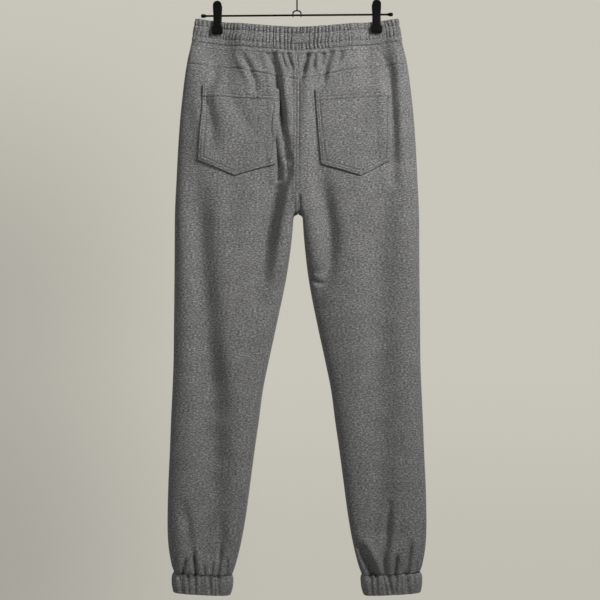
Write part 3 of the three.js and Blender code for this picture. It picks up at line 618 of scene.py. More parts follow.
def make_waistband():
    faces, sides, across, wanted, total = places_round(WAIST_ROUND, WAIST_TOP - BAND_HEIGHT / 2, BAND_POINTS)
    x = body_x(sides, across, WAIST_TOP)
    flat = (faces == BACK) * (1 - fade(FLAT_PATCH - 1, FLAT_PATCH + 3, np.abs(x - FLAT_MIDDLE)))
    clip_press = 1 - fade(JAW_HALF_WIDTH, JAW_HALF_WIDTH + 6, np.abs(np.abs(x) - CLIP_X))
    phase = wanted / total * BAND_GATHERS
    middle = np.exp(-((np.abs(x) - 22) / 42) ** 2)  # deepest beside the flat patch
    strength = 0.75 + 0.4 * middle + 0.2 * noise(wanted / 34, 0, 5)
    at_side = 1 - 0.6 * fade(120, 176, np.abs(x))
    drops = spaced([0, 10.7, 29.1, 39.0], [10, 15, 9])

    def out_at(drop):
        height = np.zeros(across.shape)
        gathers = np.zeros(across.shape)
        for channel, (start, end, puff) in enumerate(CHANNELS):
            inside = fade(start - 1.6, start + 1.6, drop) * (1 - fade(end - 1.6, end + 1.6, drop))
            t = clamp01((drop - start) / (end - start))
            bulge = inside * np.sqrt(max(0.0, 1 - (2 * t - 1) ** 2))
            height += puff * at_side * bulge * (1 - 0.45 * clip_press)
            slip = 0.3 * noise(wanted / 23, drop / 14, 21)
            share = 1.0
            if channel == 1:
                share = mix(1, mix(0.35, 1, fade(0.35, 0.75, t)), 1 - middle) * (1 - flat)
            if channel == 2:
                share = mix(0.25, 1, middle)
            gathers += inside * share * gather_waves(phase + slip, 0, 31)
        at_row = sum(math.exp(-(((drop - row) / 1.0) ** 2)) for row in BAND_STITCHES)
        height += GATHER_DEPTH * strength * gathers * (1 - 0.2 * min(1, at_row)) * (1 - 0.6 * clip_press)
        height -= 0.9 * min(1, at_row)
        height += 0.25 * noise(wanted / 11, drop / 8, 3)
        return np.minimum(height, mix(9.0, JAW_FACE - CLAMPED - BAND / 2 - 0.25, clip_press))

    profile = []
    for drop in drops[::-1]:
        profile.append((WAIST_TOP - drop, BAND / 2 + out_at(drop) - (0.5 if drop == drops[-1] else 0)))
    top_out = BAND / 2 + out_at(0.0)
    for angle in np.radians([25, 50, 75, 105, 135, 160]):
        middle_of = (top_out - BAND / 2) / 2
        half = (top_out + BAND / 2) / 2
        crest = WAIST_TOP + 1.4 * math.sin(angle) * (1 + 0.15 * strength)
        profile.append((crest, middle_of + half * math.cos(angle)))
    for drop in (0, 5, 12, 20, 30, 39.0):
        profile.append((WAIST_TOP - drop, np.full(across.shape, -BAND / 2)))
    obj, grid = ring("waistband_cloth", faces, sides, across, wanted, profile, 1)
    rows = {}
    for row in BAND_STITCHES:
        level = np.full(across.shape, WAIST_TOP - row)
        rows[row] = on_places(faces, sides, across, level, BAND / 2 + out_at(row))
    return obj, rows


def body_x(sides, across, z):
    outer = section("outer", np.full(across.shape, float(z)))
    return sides * outer * (1 - across)


# The deepest valleys on the back of each cuff: x at the seam and at the hem, width, depth.
CUFF_VALLEYS = {
    LEFT: [
        (-205, -199, 2.6, 4.4),
        (-199, -197, 2.0, 3.2),
        (-189, -187, 1.8, 2.2),
        (-177.5, -177, 2.8, 5.2),
        (-166, -168, 2.0, 1.8),
        (-152, -150, 2.6, 4.2),
        (-142, -143, 1.8, 3.0),
        (-136.5, -136, 2.4, 4.4),
        (-124, -125, 2.0, 1.6),
    ],
    RIGHT: [
        (114, 117, 2.0, 1.8),
        (128, 131, 2.6, 4.2),
        (137.5, 138.5, 2.2, 4.6),
        (150, 156, 2.2, 2.6),
        (157, 165, 2.6, 4.4),
        (171.5, 170.5, 2.4, 4.2),
        (181, 180, 2.0, 1.8),
        (189, 193, 2.8, 4.2),
        (203, 203, 2.0, 2.4),
    ],
}


def body_place(side, across, z):
    """The x of places round a leg at a height."""
    inner = section("inner", z) + CROTCH_GAP
    return side * mix(section("outer", z), inner, across)


def make_cuff(name, side):
    top = CUFF_SEAM - SEAM_GAP
    stretches = [(BACK, side, 0, 1), (FRONT, side, 1, 0)]
    faces, sides, across, wanted, total = places_round(stretches, top - CUFF_HEIGHT / 2, CUFF_POINTS)
    phase = wanted / total * CUFF_GATHERS + 0.2 * side
    drops = spaced([0, 33.0], [30])

    def out_at(drop):
        t = drop / CUFF_HEIGHT
        slip = 0.35 * noise(wanted / 30, drop / 26, 61 + side)
        reach = 0.5 + 0.5 * noise(wanted / 15, 0, 71 + side)
        waves = gather_waves(phase + slip, 7 + side, 83)
        fall = 1 - 0.45 * t * (0.6 + reach)
        waves = np.where(faces == BACK, 0.3, 1.0) * waves
        x = body_place(side, across, top - drop)
        for head, foot, width, depth in CUFF_VALLEYS[side]:
            off = (x - mix(head, foot, t)) / width
            valley = np.exp(-np.abs(off) ** 1.4) - 0.25 * np.exp(-((np.abs(off) - 2.2) ** 2))
            waves = waves - (faces == BACK) * depth / CUFF_GATHER_DEPTH * valley
        small = 0.35 * noise(wanted / 4.2, drop / 20, 91) * math.exp(-drop / 8)
        puff = CUFF_PUFF * math.sin(math.pi * min(1, 0.08 + 0.86 * t)) ** 0.6
        return puff + CUFF_GATHER_DEPTH * waves * fall + small + 0.35 * noise(wanted / 16, drop / 12, 17)

    profile = []
    for drop in drops:
        tuck = 1.0 * math.exp(-drop / 1.6)
        profile.append((top - drop, CUFF / 2 + out_at(drop) - tuck))
    foot_out = CUFF / 2 + out_at(CUFF_HEIGHT)
    for angle in np.radians([25, 50, 75, 105, 135, 160]):
        middle_of = (foot_out - CUFF / 2) / 2
        half = (foot_out + CUFF / 2) / 2
        profile.append((top - CUFF_HEIGHT - 1.6 * math.sin(angle), middle_of + half * math.cos(angle)))
    for drop in (33.0, 26, 18, 10, 4, 0):
        profile.append((top - drop, np.full(across.shape, -CUFF / 2)))
    return ring(name, faces, sides, across, wanted, profile, 3 + side)[0]


# Things laid on the back of the garment, placed by what is seen from behind


def seat_at(side, x, z):
    """Where on the back panel of that side the cloth shows at each x and z: across, height."""
    across = clamp01((section("outer", z) - np.abs(x)) / section("outer", z))
    height = np.array(z, float)
    for _ in range(6):
        found = body(BACK, side, across, height)
        across = clamp01(across + (found[..., 0] - x) * side / section("outer", height))
        height = height + (z - found[..., 2])
    return across, height


def on_back(side, x, z, lift):
    x, z = np.broadcast_arrays(np.asarray(x, float), np.asarray(z, float))
    across, height = seat_at(side, x, z)
    across = np.minimum(across, 0.9999)
    normal = outward(BACK, side, across, height)
    return body(BACK, side, across, height) + normal * (CLOTH / 2 + np.asarray(lift))[..., None], normal


# Corners of each pocket as x and z seen from behind: top left, top right, foot right, tip, foot left
POCKETS = {
    "left": ((-163.6, -211.9), (-31.3, -220.0), (-38.5, -350.2), (-107.3, -370.6), (-169.6, -343.4)),
    "right": ((29.4, -221.9), (162.7, -211.9), (159.8, -343.4), (109.9, -370.6), (42.6, -350.6)),
}
POCKET_HEM, HEM_ROW_GAP = 20.5, 5.5
POCKET_ROWS = (2.6, 8.0)  # from the edge to each row of stitching
POCKET_WIDTH, POCKET_LENGTH, POCKET_SIDE = 128, 145, 140
POCKET_RIM, POCKET_BELLY = 1.7, 1.6  # how far the edge and the middle stand out


def pocket_place(name, u, v):
    """The x and z of a point of a pocket, and its width and height there. u runs across, v down."""
    top_left, top_right, foot_right, tip, foot_left = np.array(POCKETS[name])
    u, v = np.broadcast_arrays(u, v)
    at_tip = (tip - foot_left)[0] / (foot_right - foot_left)[0]
    top = top_left + (top_right - top_left) * u[..., None]
    rise = clamp01(u / at_tip)[..., None]
    fall = clamp01((u - at_tip) / (1 - at_tip))[..., None]
    foot = foot_left + (tip - foot_left) * rise + (foot_right - tip) * fall
    place = mix(top, foot, v[..., None])
    width = mix(np.linalg.norm(top_right - top_left), np.linalg.norm(foot_right - foot_left), v)
    return place[..., 0], place[..., 1], width, np.linalg.norm(foot - top, axis=-1)


def make_pocket(name, side):
    u = spaced([0, 0.03, 0.08, 0.5, 0.92, 0.97, 1], [9, 9, 30, 30, 9, 9])[None, :]
    v = spaced([0, 0.03, 0.18, 0.9, 0.97, 1], [9, 26, 52, 12, 9])[:, None]
    x, z, width, height = pocket_place(name, u, v)
    edge = np.minimum(np.minimum(u, 1 - u) * width, (1 - v) * height * 0.97)
    top = v * height
    rim = np.sqrt(clamp01(np.minimum(edge, top) / POCKET_RIM))
    lift = 0.2 + POCKET_RIM * rim + 0.7 * (1 - fade(POCKET_ROWS[1] - 1, POCKET_ROWS[1] + 1, edge))
    lift += 1.2 * (1 - fade(POCKET_HEM - 1, POCKET_HEM + 1, top))
    uneven = 0.6 + 0.4 * noise(x / 30, z / 45, 13 + side)
    lift += POCKET_BELLY * fade(8, 40, edge) * fade(0, 40, top) * uneven
    lift += 1.0 * np.exp(-top / 14) * fade(8, 30, edge)
    lift -= 1.6 * row_dip(edge - POCKET_ROWS[1]) * fade(0, 6, top)
    lift -= 0.8 * row_dip(edge - POCKET_ROWS[0]) * fade(0, 3, top)
    lift -= 1.1 * row_dip(top - POCKET_HEM) + 1.1 * row_dip(top - POCKET_HEM + HEM_ROW_GAP)
    outer, _ = on_back(side, x, z, CLOTH * 0.8 + lift)
    inner, _ = on_back(side, x, z, np.full(x.shape, 0.25))
    return shell(f"back_pocket_{name}_cloth", outer, inner, 5 + side)


# Stitching


def stitches_on(path, normals, pitch=3.2, length=2.3, radius=0.42, closed=False):
    """Points and faces of short threads that lie along a path of surface points."""
    if closed:
        path, normals = np.vstack([path, path[:1]]), np.vstack([normals, normals[:1]])
    along = np.concatenate([[0], np.cumsum(np.linalg.norm(np.diff(path, axis=0), axis=1))])
    count = max(1, int(along[-1] // pitch))
    middles = (np.arange(count) + 0.5) * along[-1] / count

    def at(s, values):
        return np.stack([np.interp(s, along, values[:, i]) for i in range(3)], axis=1)

    centre, normal = at(middles, path), unit(at(middles, normals))
    way = unit(at(middles + length / 2, path) - at(middles - length / 2, path))
    side = unit(np.cross(way, normal))
    sides = 6
    angles = 2 * np.pi * np.arange(sides) / sides
    stations = ((-0.5, 0.35, -0.25), (-0.34, 0.95, 0.12), (0.34, 0.95, 0.12), (0.5, 0.35, -0.25))
    rings = []
    for share, thick, lift in stations:
        middle = centre + way * (share * length) + normal * (lift * radius + 0.1)
        for angle in angles:
            rings.append(middle + (side * math.cos(angle) + normal * math.sin(angle)) * radius * thick)
    points = np.stack(rings, axis=1)
    faces = barrel_faces(len(stations), sides)
    per = len(stations) * sides
    all_faces = [tuple(v + per * n for v in f) for n in range(count) for f in faces]
    return points.reshape(-1, 3), all_faces


def stitching(name, rows):
    """One piece of all the threads along several rows. A row is a path, its normals and whether it closes."""
    points, faces, start = [], [], 0
    for path, normals, closed in rows:
        p, f = stitches_on(path, normals, closed=closed)
        points.append(p)
        faces += [tuple(v + start for v in face) for face in f]
        start += len(p)
    points = np.vstack(points)
    return mesh_object(name, points, face_out(points, faces), points[:, [0, 2]])


def row_on_back(side, x, z, lift=0.0):
    path, normals = on_back(side, x, z, np.full(np.shape(x), lift))
    return path, normals, False


def row_on_panel(face, side, across, z):
    across, z = np.broadcast_arrays(np.asarray(across, float), np.asarray(z, float))
    normals = outward(face, side, across, z)
    return body(face, side, across, z) + normals * (CLOTH / 2), normals, False


# Hanger


def tube(name, path, radius, sides=20):
    """A round bar along a path. radius may vary along it."""
    path = np.asarray(path, float)
    radius = np.broadcast_to(np.asarray(radius, float), (len(path),))
    way = unit(np.gradient(path, axis=0))
    up = np.array([0.0, 1.0, 0.0])
    angles = 2 * np.pi * np.arange(sides) / sides
    rings = []
    for p, d, r in zip(path, way, radius):
        side = unit(np.cross(d, up))
        up = unit(np.cross(side, d))
        rings.append(p + r * (np.cos(angles)[:, None] * side + np.sin(angles)[:, None] * up))
    points = np.vstack(rings)
    return mesh_object(name, points, face_out(points, barrel_faces(len(path), sides)))


def rod_height(x):
    return ROD_HEIGHT + ROD_RISE * x / ROD_HALF_LENGTH


def arc(radius, x, z, start, end, count):
    angles = np.radians(np.linspace(start, end, count))
    return np.stack([x + radius * np.cos(angles), np.zeros(count), z + radius * np.sin(angles)], axis=1)


def make_hook():
    wire, inside, tip, turn = 1.25, 20.0, 205.0, -60.0
    middle = inside + wire
    angle = math.radians(turn)
    leave_x = middle * math.cos(angle)
    leave_z = -inside + middle * math.sin(angle)
    bend = leave_x / (1 - math.cos(angle))
    arch_top = ROD_HEIGHT + 8
    path = np.vstack(
        [
            arc(middle, 0, -inside, tip, turn, 60),
            arc(bend, bend, leave_z + bend * math.sin(angle), 180 + turn, 180, 18)[1:],
            [(0, 0, z) for z in np.linspace(leave_z + bend * math.sin(angle) - 2, arch_top, 6)],
        ]
    )
    radius = np.full(len(path), wire)
    radius[:3] = wire * np.array([0.45, 0.85, 1.0])
    return tube("hook_wire", path, radius, 18)


def make_saddle():
    wire, half, eye_wire = 1.25, 7.0, 0.8
    eye_radius = ROD_RADIUS + SEAM_GAP + eye_wire
    top = ROD_HEIGHT + 8
    foot = rod_height(half) + eye_radius
    angles = np.radians(np.linspace(180, 0, 26))
    path = np.stack(
        [half * np.cos(angles), np.zeros(26), foot + (top - foot) * np.sin(angles).clip(0) ** 0.8], axis=1
    )
    made = [tube("saddle_arch", path, wire, 16)]
    for name, side in SIDES.items():
        around = np.radians(np.linspace(90, 90 + 360, 34))
        x = side * half
        ring_path = np.stack(
            [np.full(34, x), eye_radius * np.cos(around), rod_height(x) + eye_radius * np.sin(around)], axis=1
        )
        made.append(ring_of(f"saddle_eye_{name}", ring_path[:-1], eye_wire))
    return made


def ring_of(name, path, radius, sides=12):
    """A closed wire ring in a plane of constant x."""
    centre = path.mean(axis=0)
    angles = 2 * np.pi * np.arange(sides) / sides
    rings = []
    for p in path:
        out = unit(p - centre)
        rings.append(p + radius * (np.cos(angles)[:, None] * out + np.sin(angles)[:, None] * (1.0, 0, 0)))
    points = np.vstack(rings)
    return mesh_object(name, points, face_out(points, barrel_faces(len(path), sides, closed=True)))


def turned(name, profile, x, z, direction, sides=32):
    """A round body about a line along X: profile is (length along, radius)."""
    profile = np.array(profile, float)
    angles = 2 * np.pi * np.arange(sides) / sides
    points = []
    for along, radius in profile:
        points += [(x + direction * along, radius * math.cos(a), z + radius * math.sin(a)) for a in angles]
    points = np.array(points)
    return mesh_object(name, points, face_out(points, barrel_faces(len(profile), sides)))


def loft(name, sections, x, sides=40):
    """A body through rounded rectangles, one a height: height, half width, near y, far y, corner."""
    angles = 2 * np.pi * np.arange(sides) / sides
    points = []
    for z, half, near, far, power in sections:
        middle, depth = (near + far) / 2, abs(far - near) / 2
        c, s = np.cos(angles), np.sin(angles)
        px = np.sign(c) * np.abs(c) ** (2 / power) * half
        py = np.sign(s) * np.abs(s) ** (2 / power) * depth
        points.append(np.stack([x + px, middle + py, np.full(sides, z)], axis=1))
    points = np.vstack(points)
    return mesh_object(name, points, face_out(points, barrel_faces(len(sections), sides)))


# height above the jaw's foot, half width, inner y, outer y
JAW_SECTIONS = [
    (0.0, 8.2, 6.2, 9.6),
    (0.4, 9.1, 5.8, 10.5),
    (1.2, 9.6, 5.7, 11.0),
    (3.0, 9.85, 5.7, 11.3),
    (6.0, 9.9, 5.7, 11.3),
    (10.2, 9.8, 5.7, 11.0),
    (11.4, 9.6, 5.7, 10.9),
    (12.1, 8.9, 5.7, 10.6),
    (12.8, 7.6, 5.7, 10.3),
    (14.0, 7.2, 5.7, 10.2),
    (19.0, 7.1, 5.7, 9.7),
    (25.0, 7.1, 5.4, 8.6),
    (30.0, 7.1, 5.2, 8.0),
    (34.0, 7.2, 5.25, 8.0),
    (38.0, 7.4, 5.5, 8.5),
    (44.0, 7.7, 6.3, 9.4),
    (48.0, 7.8, 7.0, 10.0),
    (51.0, 7.7, 7.5, 10.4),
    (53.3, 7.0, 7.9, 10.8),
    (55.0, 5.9, 8.2, 11.0),
    (56.3, 4.3, 8.4, 11.0),
    (57.1, 2.6, 8.6, 10.9),
    (57.4, 1.2, 8.9, 10.7),
]


def make_jaw(name, face, x):
    pivot = rod_height(x)
    foot = pivot - 33
    heights = np.array([row[0] for row in JAW_SECTIONS])
    fine = np.unique(np.concatenate([heights, np.linspace(0, heights[-1], 70)]))
    columns = [np.interp(fine, heights, [row[i] for row in JAW_SECTIONS]) for i in (1, 2, 3)]
    rows = [
        (foot + h, half, face * near, face * far, 7.0 if h < 14 else 5.0)
        for h, half, near, far in zip(fine, *columns)
    ]
    return loft(name, rows, x)


def make_ears(name, face, x):
    """The two ears of a jaw that the rod passes through."""
    pivot = rod_height(x)
    middle = 5.3 if face == BACK else 3.5
    sides = 40
    outline = []
    for a in np.linspace(0, 2 * np.pi, sides, endpoint=False):
        y, z = 3.6 * math.cos(a), 3.6 * math.sin(a)
        if y * face > 0:
            y, z = face * mix(y * face, 6.6, abs(math.cos(a)) ** 0.3), z * 0.9
        outline.append((y, pivot + z))
    turn = np.linspace(0, 2 * np.pi, sides, endpoint=False)
    hole = [(2.0 * math.cos(a), pivot + 2.0 * math.sin(a)) for a in turn]
    points, faces = [], []
    for side in (LEFT, RIGHT):
        base = len(points)
        for dx in (-0.7, 0.7):
            points += [(x + side * middle + dx, y, z) for y, z in outline]
            points += [(x + side * middle + dx, y, z) for y, z in hole]
        n = sides
        for j in range(n):
            k = (j + 1) % n
            a, b = base + j, base + k
            faces.append((a, b, b + n, a + n))
            faces.append((a + 2 * n, a + 3 * n, b + 3 * n, b + 2 * n))
            faces.append((a, a + 2 * n, b + 2 * n, b))
            faces.append((a + n, b + n, b + 3 * n, a + 3 * n))
    points = np.array(points)
    return mesh_object(name, points, face_out(points, faces), smooth=False)


def make_spring(name, x):
    turns, radius, wire = 4.5, 2.95, 0.45
    t = np.linspace(0, turns, 150)
    angles = 2 * np.pi * t
    path = np.stack(
        [x - 2.1 + 4.2 * t / turns, radius * np.cos(angles), rod_height(x) + radius * np.sin(angles)], axis=1
    )
    return tube(name, path, wire, 8)


# Materials


def nodes_of(name):
    material = bpy.data.materials.new(name)
    material.use_nodes = True
    tree = material.node_tree
    return material, tree, tree.nodes["Principled BSDF"]


def link(tree, a, b):
    tree.links.new(a, b)


def put(node, values):
    """Set the unlinked inputs of a node."""
    for name, value in values.items():
        node.inputs[name].default_value = value


def noise_node(tree, coords, scale, stretch, detail=2.0, offset=(0, 0, 0), roughness=0.5):
    mapping = tree.nodes.new("ShaderNodeMapping")
    put(mapping, {"Scale": stretch, "Location": offset})
    link(tree, coords, mapping.inputs["Vector"])
    node = tree.nodes.new("ShaderNodeTexNoise")
    put(node, {"Scale": scale, "Detail": detail, "Roughness": roughness})
    link(tree, mapping.outputs["Vector"], node.inputs["Vector"])
    return node.outputs["Fac"]


def ramp(tree, value, stops):
    node = tree.nodes.new("ShaderNodeValToRGB")
    ramp_stops = node.color_ramp.elements
    while len(ramp_stops) < len(stops):
        ramp_stops.new(0.5)
    for element, (place, colour) in zip(ramp_stops, stops):
        element.position = place
        element.color = (*colour, 1)
    link(tree, value, node.inputs["Fac"])
    return node.outputs["Color"]


def multiply(tree, a, b, share=1.0):
    node = tree.nodes.new("ShaderNodeMix")
    node.data_type = "RGBA"
    node.blend_type = "MULTIPLY"
    node.inputs["Factor"].default_value = share
    link(tree, a, node.inputs[6])
    link(tree, b, node.inputs[7])
    return node.outputs[2]


def grey(level, warm=0.0):
    return (level * (1 + warm), level, level * (1 - warm))


def marl(name, shade):
    """Brushed marl fleece: short fibres, dark and light, that lie along the courses of the knit."""
    material, tree, shader = nodes_of(name)
    coords = tree.nodes.new("ShaderNodeTexCoord").outputs["UV"]
    fleck = noise_node(tree, coords, 1.0, (240, 480, 1), 3.0, roughness=0.62)
    base = ramp(
        tree,
        fleck,
        [
            (0.32, grey(shade * 0.36, 0.01)),
            (0.45, grey(shade * 0.80, 0.008)),
            (0.54, grey(shade * 1.12, 0.0)),
            (0.67, grey(shade * 1.95, -0.004)),
        ],
    )
    dark = noise_node(tree, coords, 1.0, (190, 400, 1), 2.0, (3.1, 7.7, 0))
    dark = ramp(tree, dark, [(0.30, grey(0.68)), (0.42, grey(1.0))])
    blotch = noise_node(tree, coords, 1.0, (26, 40, 1), 2.0, (1.3, 4.2, 0))
    blotch = ramp(tree, blotch, [(0.3, grey(0.9)), (0.7, grey(1.08))])
    colour = multiply(tree, multiply(tree, base, dark), blotch)
    link(tree, colour, shader.inputs["Base Color"])
    settings = {"Roughness": 0.95, "Specular IOR Level": 0.15, "Sheen Weight": 0.12, "Sheen Roughness": 0.6}
    put(shader, settings)
    fuzz = noise_node(tree, coords, 1.0, (900, 1500, 1), 2.0, (9.0, 2.0, 0))
    bump_fine = tree.nodes.new("ShaderNodeBump")
    put(bump_fine, {"Strength": 0.35, "Distance": 0.0005})
    link(tree, fuzz, bump_fine.inputs["Height"])
    bump = tree.nodes.new("ShaderNodeBump")
    put(bump, {"Strength": 0.5, "Distance": 0.0006})
    link(tree, fleck, bump.inputs["Height"])
    link(tree, bump_fine.outputs["Normal"], bump.inputs["Normal"])
    link(tree, bump.outputs["Normal"], shader.inputs["Normal"])
    return material


def black(name, level, roughness, metallic=0.0):
    """Black plastic or lacquered wire with a fine uneven surface."""
    material, tree, shader = nodes_of(name)
    coords = tree.nodes.new("ShaderNodeTexCoord").outputs["Object"]
    cloud = noise_node(tree, coords, 60, (1, 1, 1), 2.0)
    tone = ramp(tree, cloud, [(0.3, grey(level * 0.8)), (0.7, grey(level * 1.25))])
    link(tree, tone, shader.inputs["Base Color"])
    wear = noise_node(tree, coords, 220, (1, 1, 1), 3.0, (2, 1, 5))
    spread = tree.nodes.new("ShaderNodeMapRange")
    put(spread, {"To Min": roughness - 0.08, "To Max": roughness + 0.1})
    link(tree, wear, spread.inputs["Value"])
    link(tree, spread.outputs["Result"], shader.inputs["Roughness"])
    put(shader, {"Metallic": metallic, "Specular IOR Level": 0.5 if metallic else 0.07})
    bump = tree.nodes.new("ShaderNodeBump")
    put(bump, {"Strength": 0.12, "Distance": 0.0002})
    link(tree, wear, bump.inputs["Height"])
    link(tree, bump.outputs["Normal"], shader.inputs["Normal"])
    return material


FLEECE = marl("marl_fleece", 0.19)
# The thread is a deeper grey marl than the fleece: painted shade that dims the rows of stitching as the shade
# in their grooves would.
THREAD_PAINTED_SHADE = marl("marl_thread_painted_shade", 0.12)
PLASTIC = black("black_plastic", 0.0035, 0.42)
WIRE = black("black_wire", 0.004, 0.45)
SPRING = black("spring_steel", 0.35, 0.35, 1.0)


def dress(obj, material, slot, *replaced):
    obj.data.materials.append(material)
    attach(obj, "root")
    if replaced:
        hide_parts(*replaced)
    return obj


# The garment

band, band_rows = make_waistband()
dress(band, FLEECE, "fleece", "waistband")

ACROSS = columns_across(112)
FRONT_ACROSS = columns_across(80)
back_levels = spaced([YOKE_SIDE - SEAM_GAP, -190, -420, CROTCH, -470, CUFF_SEAM], [14, 96, 10, 20, 160])
front_levels = spaced([BAND_SEAM, CROTCH, -470, CUFF_SEAM], [100, 16, 130])
yoke_share = np.linspace(0, 1, 34)[:, None]

cloth = {}
for number, (name, side) in enumerate(SIDES.items()):
    heights = mix(BAND_SEAM, yoke_seam(ACROSS)[None, :], yoke_share)
    cloth[f"back_yoke_{name}"] = panel(f"back_yoke_{name}_cloth", BACK, side, heights, ACROSS, 11 + number)
    heights = below_yoke(back_levels, ACROSS)
    cloth[f"back_leg_{name}"] = panel(f"back_leg_{name}_cloth", BACK, side, heights, ACROSS, 21 + number)
    heights = np.broadcast_to(front_levels[:, None], (len(front_levels), len(FRONT_ACROSS))).copy()
    made = panel(f"front_leg_{name}_cloth", FRONT, side, heights, FRONT_ACROSS, 31 + number)
    cloth[f"front_leg_{name}"] = made
    cloth[f"cuff_{name}"] = make_cuff(f"cuff_{name}_cloth", side)
    cloth[f"back_pocket_{name}"] = make_pocket(name, side)
for name, obj in cloth.items():
    dress(obj, FLEECE, "fleece", name)

# Stitching on the garment


def band_normals(path):
    way = unit(np.roll(path, -3, axis=0) - np.roll(path, 3, axis=0))
    normal = np.cross(way, (0.0, 0.0, 1.0))
    return unit(normal)


band_threads = [(path, band_normals(path), True) for path in band_rows.values()]
if np.mean([np.sum(n * (p - p.mean(axis=0))) for p, n, _ in band_threads]) < 0:
    band_threads = [(p, -n, c) for p, n, c in band_threads]
dress(stitching("waistband_stitching", band_threads), THREAD_PAINTED_SHADE, "fleece")

seat_threads = []
for name, side in SIDES.items():
    line = np.linspace(0.01, 0.999, 220)
    for face in (BACK, FRONT):
        seat_threads.append(row_on_panel(face, side, line, np.full(line.shape, BAND_SEAM - ROW_BELOW_BAND)))
for inset in FELL_ROWS:
    z = np.linspace(-150, -424, 200)
    seat_threads.append(row_on_panel(BACK, LEFT, 1 - inset / section("outer", z), z))
dress(stitching("seat_stitching", seat_threads), THREAD_PAINTED_SHADE, "fleece")

for name, side in SIDES.items():
    rows = []
    t = np.linspace(0, 1, 60)
    for inset in POCKET_ROWS:
        left, foot = inset / POCKET_WIDTH, 1 - inset / POCKET_LENGTH
        tip = 0.6 if side == RIGHT else 0.51
        stops = [(left, 0.01), (left, foot), (tip, foot), (1 - left, foot), (1 - left, 0.01)]
        for (au, av), (bu, bv) in zip(stops, stops[1:]):
            x, z, _, _ = pocket_place(name, mix(au, bu, t), mix(av, bv, t))
            rows.append(row_on_back(side, x, z, CLOTH * 0.8 + 1.25))
    for down in (POCKET_HEM, POCKET_HEM - HEM_ROW_GAP):
        x, z, _, _ = pocket_place(name, mix(0.01, 0.99, t), np.full(t.shape, down / POCKET_SIDE))
        rows.append(row_on_back(side, x, z, CLOTH * 0.8 + 1.5))
    dress(stitching(f"pocket_stitching_{name}", rows), THREAD_PAINTED_SHADE, "fleece")

# The hanger

x = np.linspace(-ROD_HALF_LENGTH, ROD_HALF_LENGTH, 60)
rod = tube("rod_wire", np.stack([x, np.zeros(60), rod_height(x)], axis=1), ROD_RADIUS, 24)
dress(rod, WIRE, "wire", "hanger_rod")
dress(make_hook(), WIRE, "wire", "hanger_hook")
for part in make_saddle():
    dress(part, WIRE, "wire", "hanger_hook")
KNOB_PROFILE = [
    (0, 1.75), (0.15, 2.0), (1.2, 2.35), (2.4, 2.8), (3.6, 3.2), (4.6, 3.3), (6.6, 3.3), (7.8, 3.15),
    (8.7, 2.7), (9.3, 1.9), (9.5, 1.0),
]
for name, side in SIDES.items():
    end = ROD_HALF_LENGTH + SEAM_GAP - 6
    knob = turned(f"rod_knob_{name}", KNOB_PROFILE, side * end, rod_height(side * ROD_HALF_LENGTH), side)
    dress(knob, PLASTIC, "clip_plastic", f"hanger_knob_{name}")
    for where, face in (("back", BACK), ("front", FRONT)):
        node = f"clip_{where}_jaw_{name}"
        dress(make_jaw(f"clip_{where}_plate_{name}", face, side * CLIP_X), PLASTIC, "clip_plastic", node)
        dress(make_ears(f"clip_{where}_ears_{name}", face, side * CLIP_X), PLASTIC, "clip_plastic", node)
    dress(make_spring(f"clip_coil_{name}", side * CLIP_X), SPRING, "wire", f"clip_spring_{name}")

# Studio

CAMERA_PLACE, CAMERA_LENS = (0.00525, -2.479, -0.5846), 85
WALL_COLOUR = (0.584, 0.565, 0.497)

scene = bpy.context.scene
scene.view_settings.view_transform = "Standard"
scene.view_settings.look = "None"
scene.view_settings.exposure = 0
scene.view_settings.gamma = 1

camera = bpy.data.objects.new("camera", bpy.data.cameras.new("camera"))
scene.collection.objects.link(camera)
camera.location = CAMERA_PLACE
camera.rotation_euler = (math.radians(90), 0, 0)
camera.data.lens = CAMERA_LENS
camera.data.sensor_width = 36
camera.data.clip_end = 60
scene.camera = camera


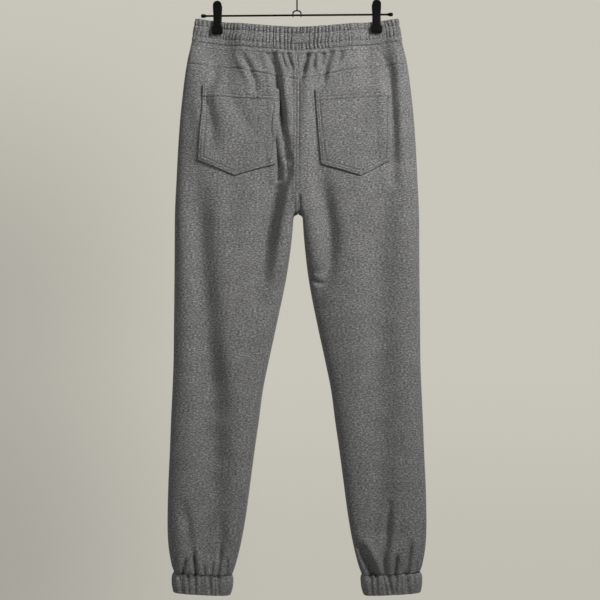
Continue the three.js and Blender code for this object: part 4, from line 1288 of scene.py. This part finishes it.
def make_backdrop():
    """A round pale wall that sweeps up from a pale floor, all round the object. It glows, with painted shade
    that dims it towards the left and lower down.
    """
    radius, floor, top, bend = 6.5, -2.4, 4.5, 1.5
    profile = [(0.0, floor)]
    profile += [(r, floor) for r in np.linspace(0.6, radius - bend, 8)]
    for a in np.radians(np.linspace(8, 90, 11)):
        profile.append((radius - bend + bend * math.sin(a), floor + bend - bend * math.cos(a)))
    profile += [(radius, z) for z in np.linspace(floor + bend + 0.5, top, 8)]
    sides = 96
    angles = 2 * np.pi * np.arange(sides) / sides
    points = [(0.0, 0.0, floor)]
    for r, z in profile[1:]:
        points += [(r * math.cos(a), r * math.sin(a), z) for a in angles]
    faces = [(0, 1 + j, 1 + (j + 1) % sides) for j in range(sides)]
    for i in range(len(profile) - 2):
        for j in range(sides):
            k = (j + 1) % sides
            a, b = 1 + i * sides, 1 + (i + 1) * sides
            faces.append((a + j, b + j, b + k, a + k))
    obj = mesh_object("backdrop", np.array(points) / MM, faces)
    material, tree, shader = nodes_of("backdrop_glow_painted_shade")
    coords = tree.nodes.new("ShaderNodeTexCoord").outputs["Object"]
    parts = tree.nodes.new("ShaderNodeSeparateXYZ")
    link(tree, coords, parts.inputs[0])

    def ranged(value, start, end, low, high):
        node = tree.nodes.new("ShaderNodeMapRange")
        node.interpolation_type = "SMOOTHSTEP"
        for key, number in zip(("From Min", "From Max", "To Min", "To Max"), (start, end, low, high)):
            node.inputs[key].default_value = number
        link(tree, value, node.inputs["Value"])
        return node.outputs["Result"]

    def maths(operation, a, b):
        node = tree.nodes.new("ShaderNodeMath")
        node.operation = operation
        link(tree, a, node.inputs[0])
        link(tree, b, node.inputs[1])
        return node.outputs[0]

    # Painted shade: the glowing wall dims towards the left and lower down, and dims more near the floor.
    painted_shade_left = ranged(parts.outputs["X"], -2.1, -0.1, 0.27, 0.0)
    down = ranged(parts.outputs["Z"], -0.6, 1.5, 1.0, 0.0)
    low = ranged(parts.outputs["Z"], -2.3, -0.9, 0.10, 0.0)
    painted_shade = maths("ADD", maths("MULTIPLY", painted_shade_left, down), low)
    bright = tree.nodes.new("ShaderNodeMath")
    bright.operation = "SUBTRACT"
    bright.inputs[0].default_value = 1.0
    link(tree, painted_shade, bright.inputs[1])
    colour = ramp(tree, bright.outputs[0], [(0.0, (0.0, 0.0, 0.0)), (1.0, WALL_COLOUR)])
    emission = tree.nodes.new("ShaderNodeEmission")
    link(tree, colour, emission.inputs["Color"])
    link(tree, emission.outputs["Emission"], tree.nodes["Material Output"].inputs["Surface"])
    obj.data.materials.append(material)
    obj.visible_diffuse = False
    obj.visible_shadow = False
    return obj


make_backdrop()

world = bpy.data.worlds.new("studio")
scene.world = world
world.use_nodes = True
world.node_tree.nodes["Background"].inputs["Color"].default_value = (1.0, 0.99, 0.97, 1)
world.node_tree.nodes["Background"].inputs["Strength"].default_value = 0.12


def softbox(name, place, aim, side, power, spread):
    data = bpy.data.lights.new(name, "AREA")
    data.shape = "RECTANGLE"
    data.size, data.size_y = side, side
    data.energy = power
    data.spread = math.radians(spread)
    data.color = (1.0, 0.995, 0.985)
    obj = bpy.data.objects.new(name, data)
    scene.collection.objects.link(obj)
    obj.location = place
    obj.rotation_mode = "QUATERNION"
    obj.rotation_quaternion = (Vector(aim) - Vector(place)).to_track_quat("-Z", "Y")
    return obj


# name, place, what it points at, side, watts and spread in degrees
LIGHTS = (
    ("key", (1.45, -1.55, 0.8), (0, 0, -0.15), 0.8, 13.0, 84),
    ("fill", (-1.7, -2.5, 0.3), (0, 0, -0.4), 1.8, 14, 180),
    ("behind", (1.5, 3.0, 1.0), (0, 0, -0.6), 2.4, 50, 180),
)
for light in LIGHTS:
    softbox(*light)
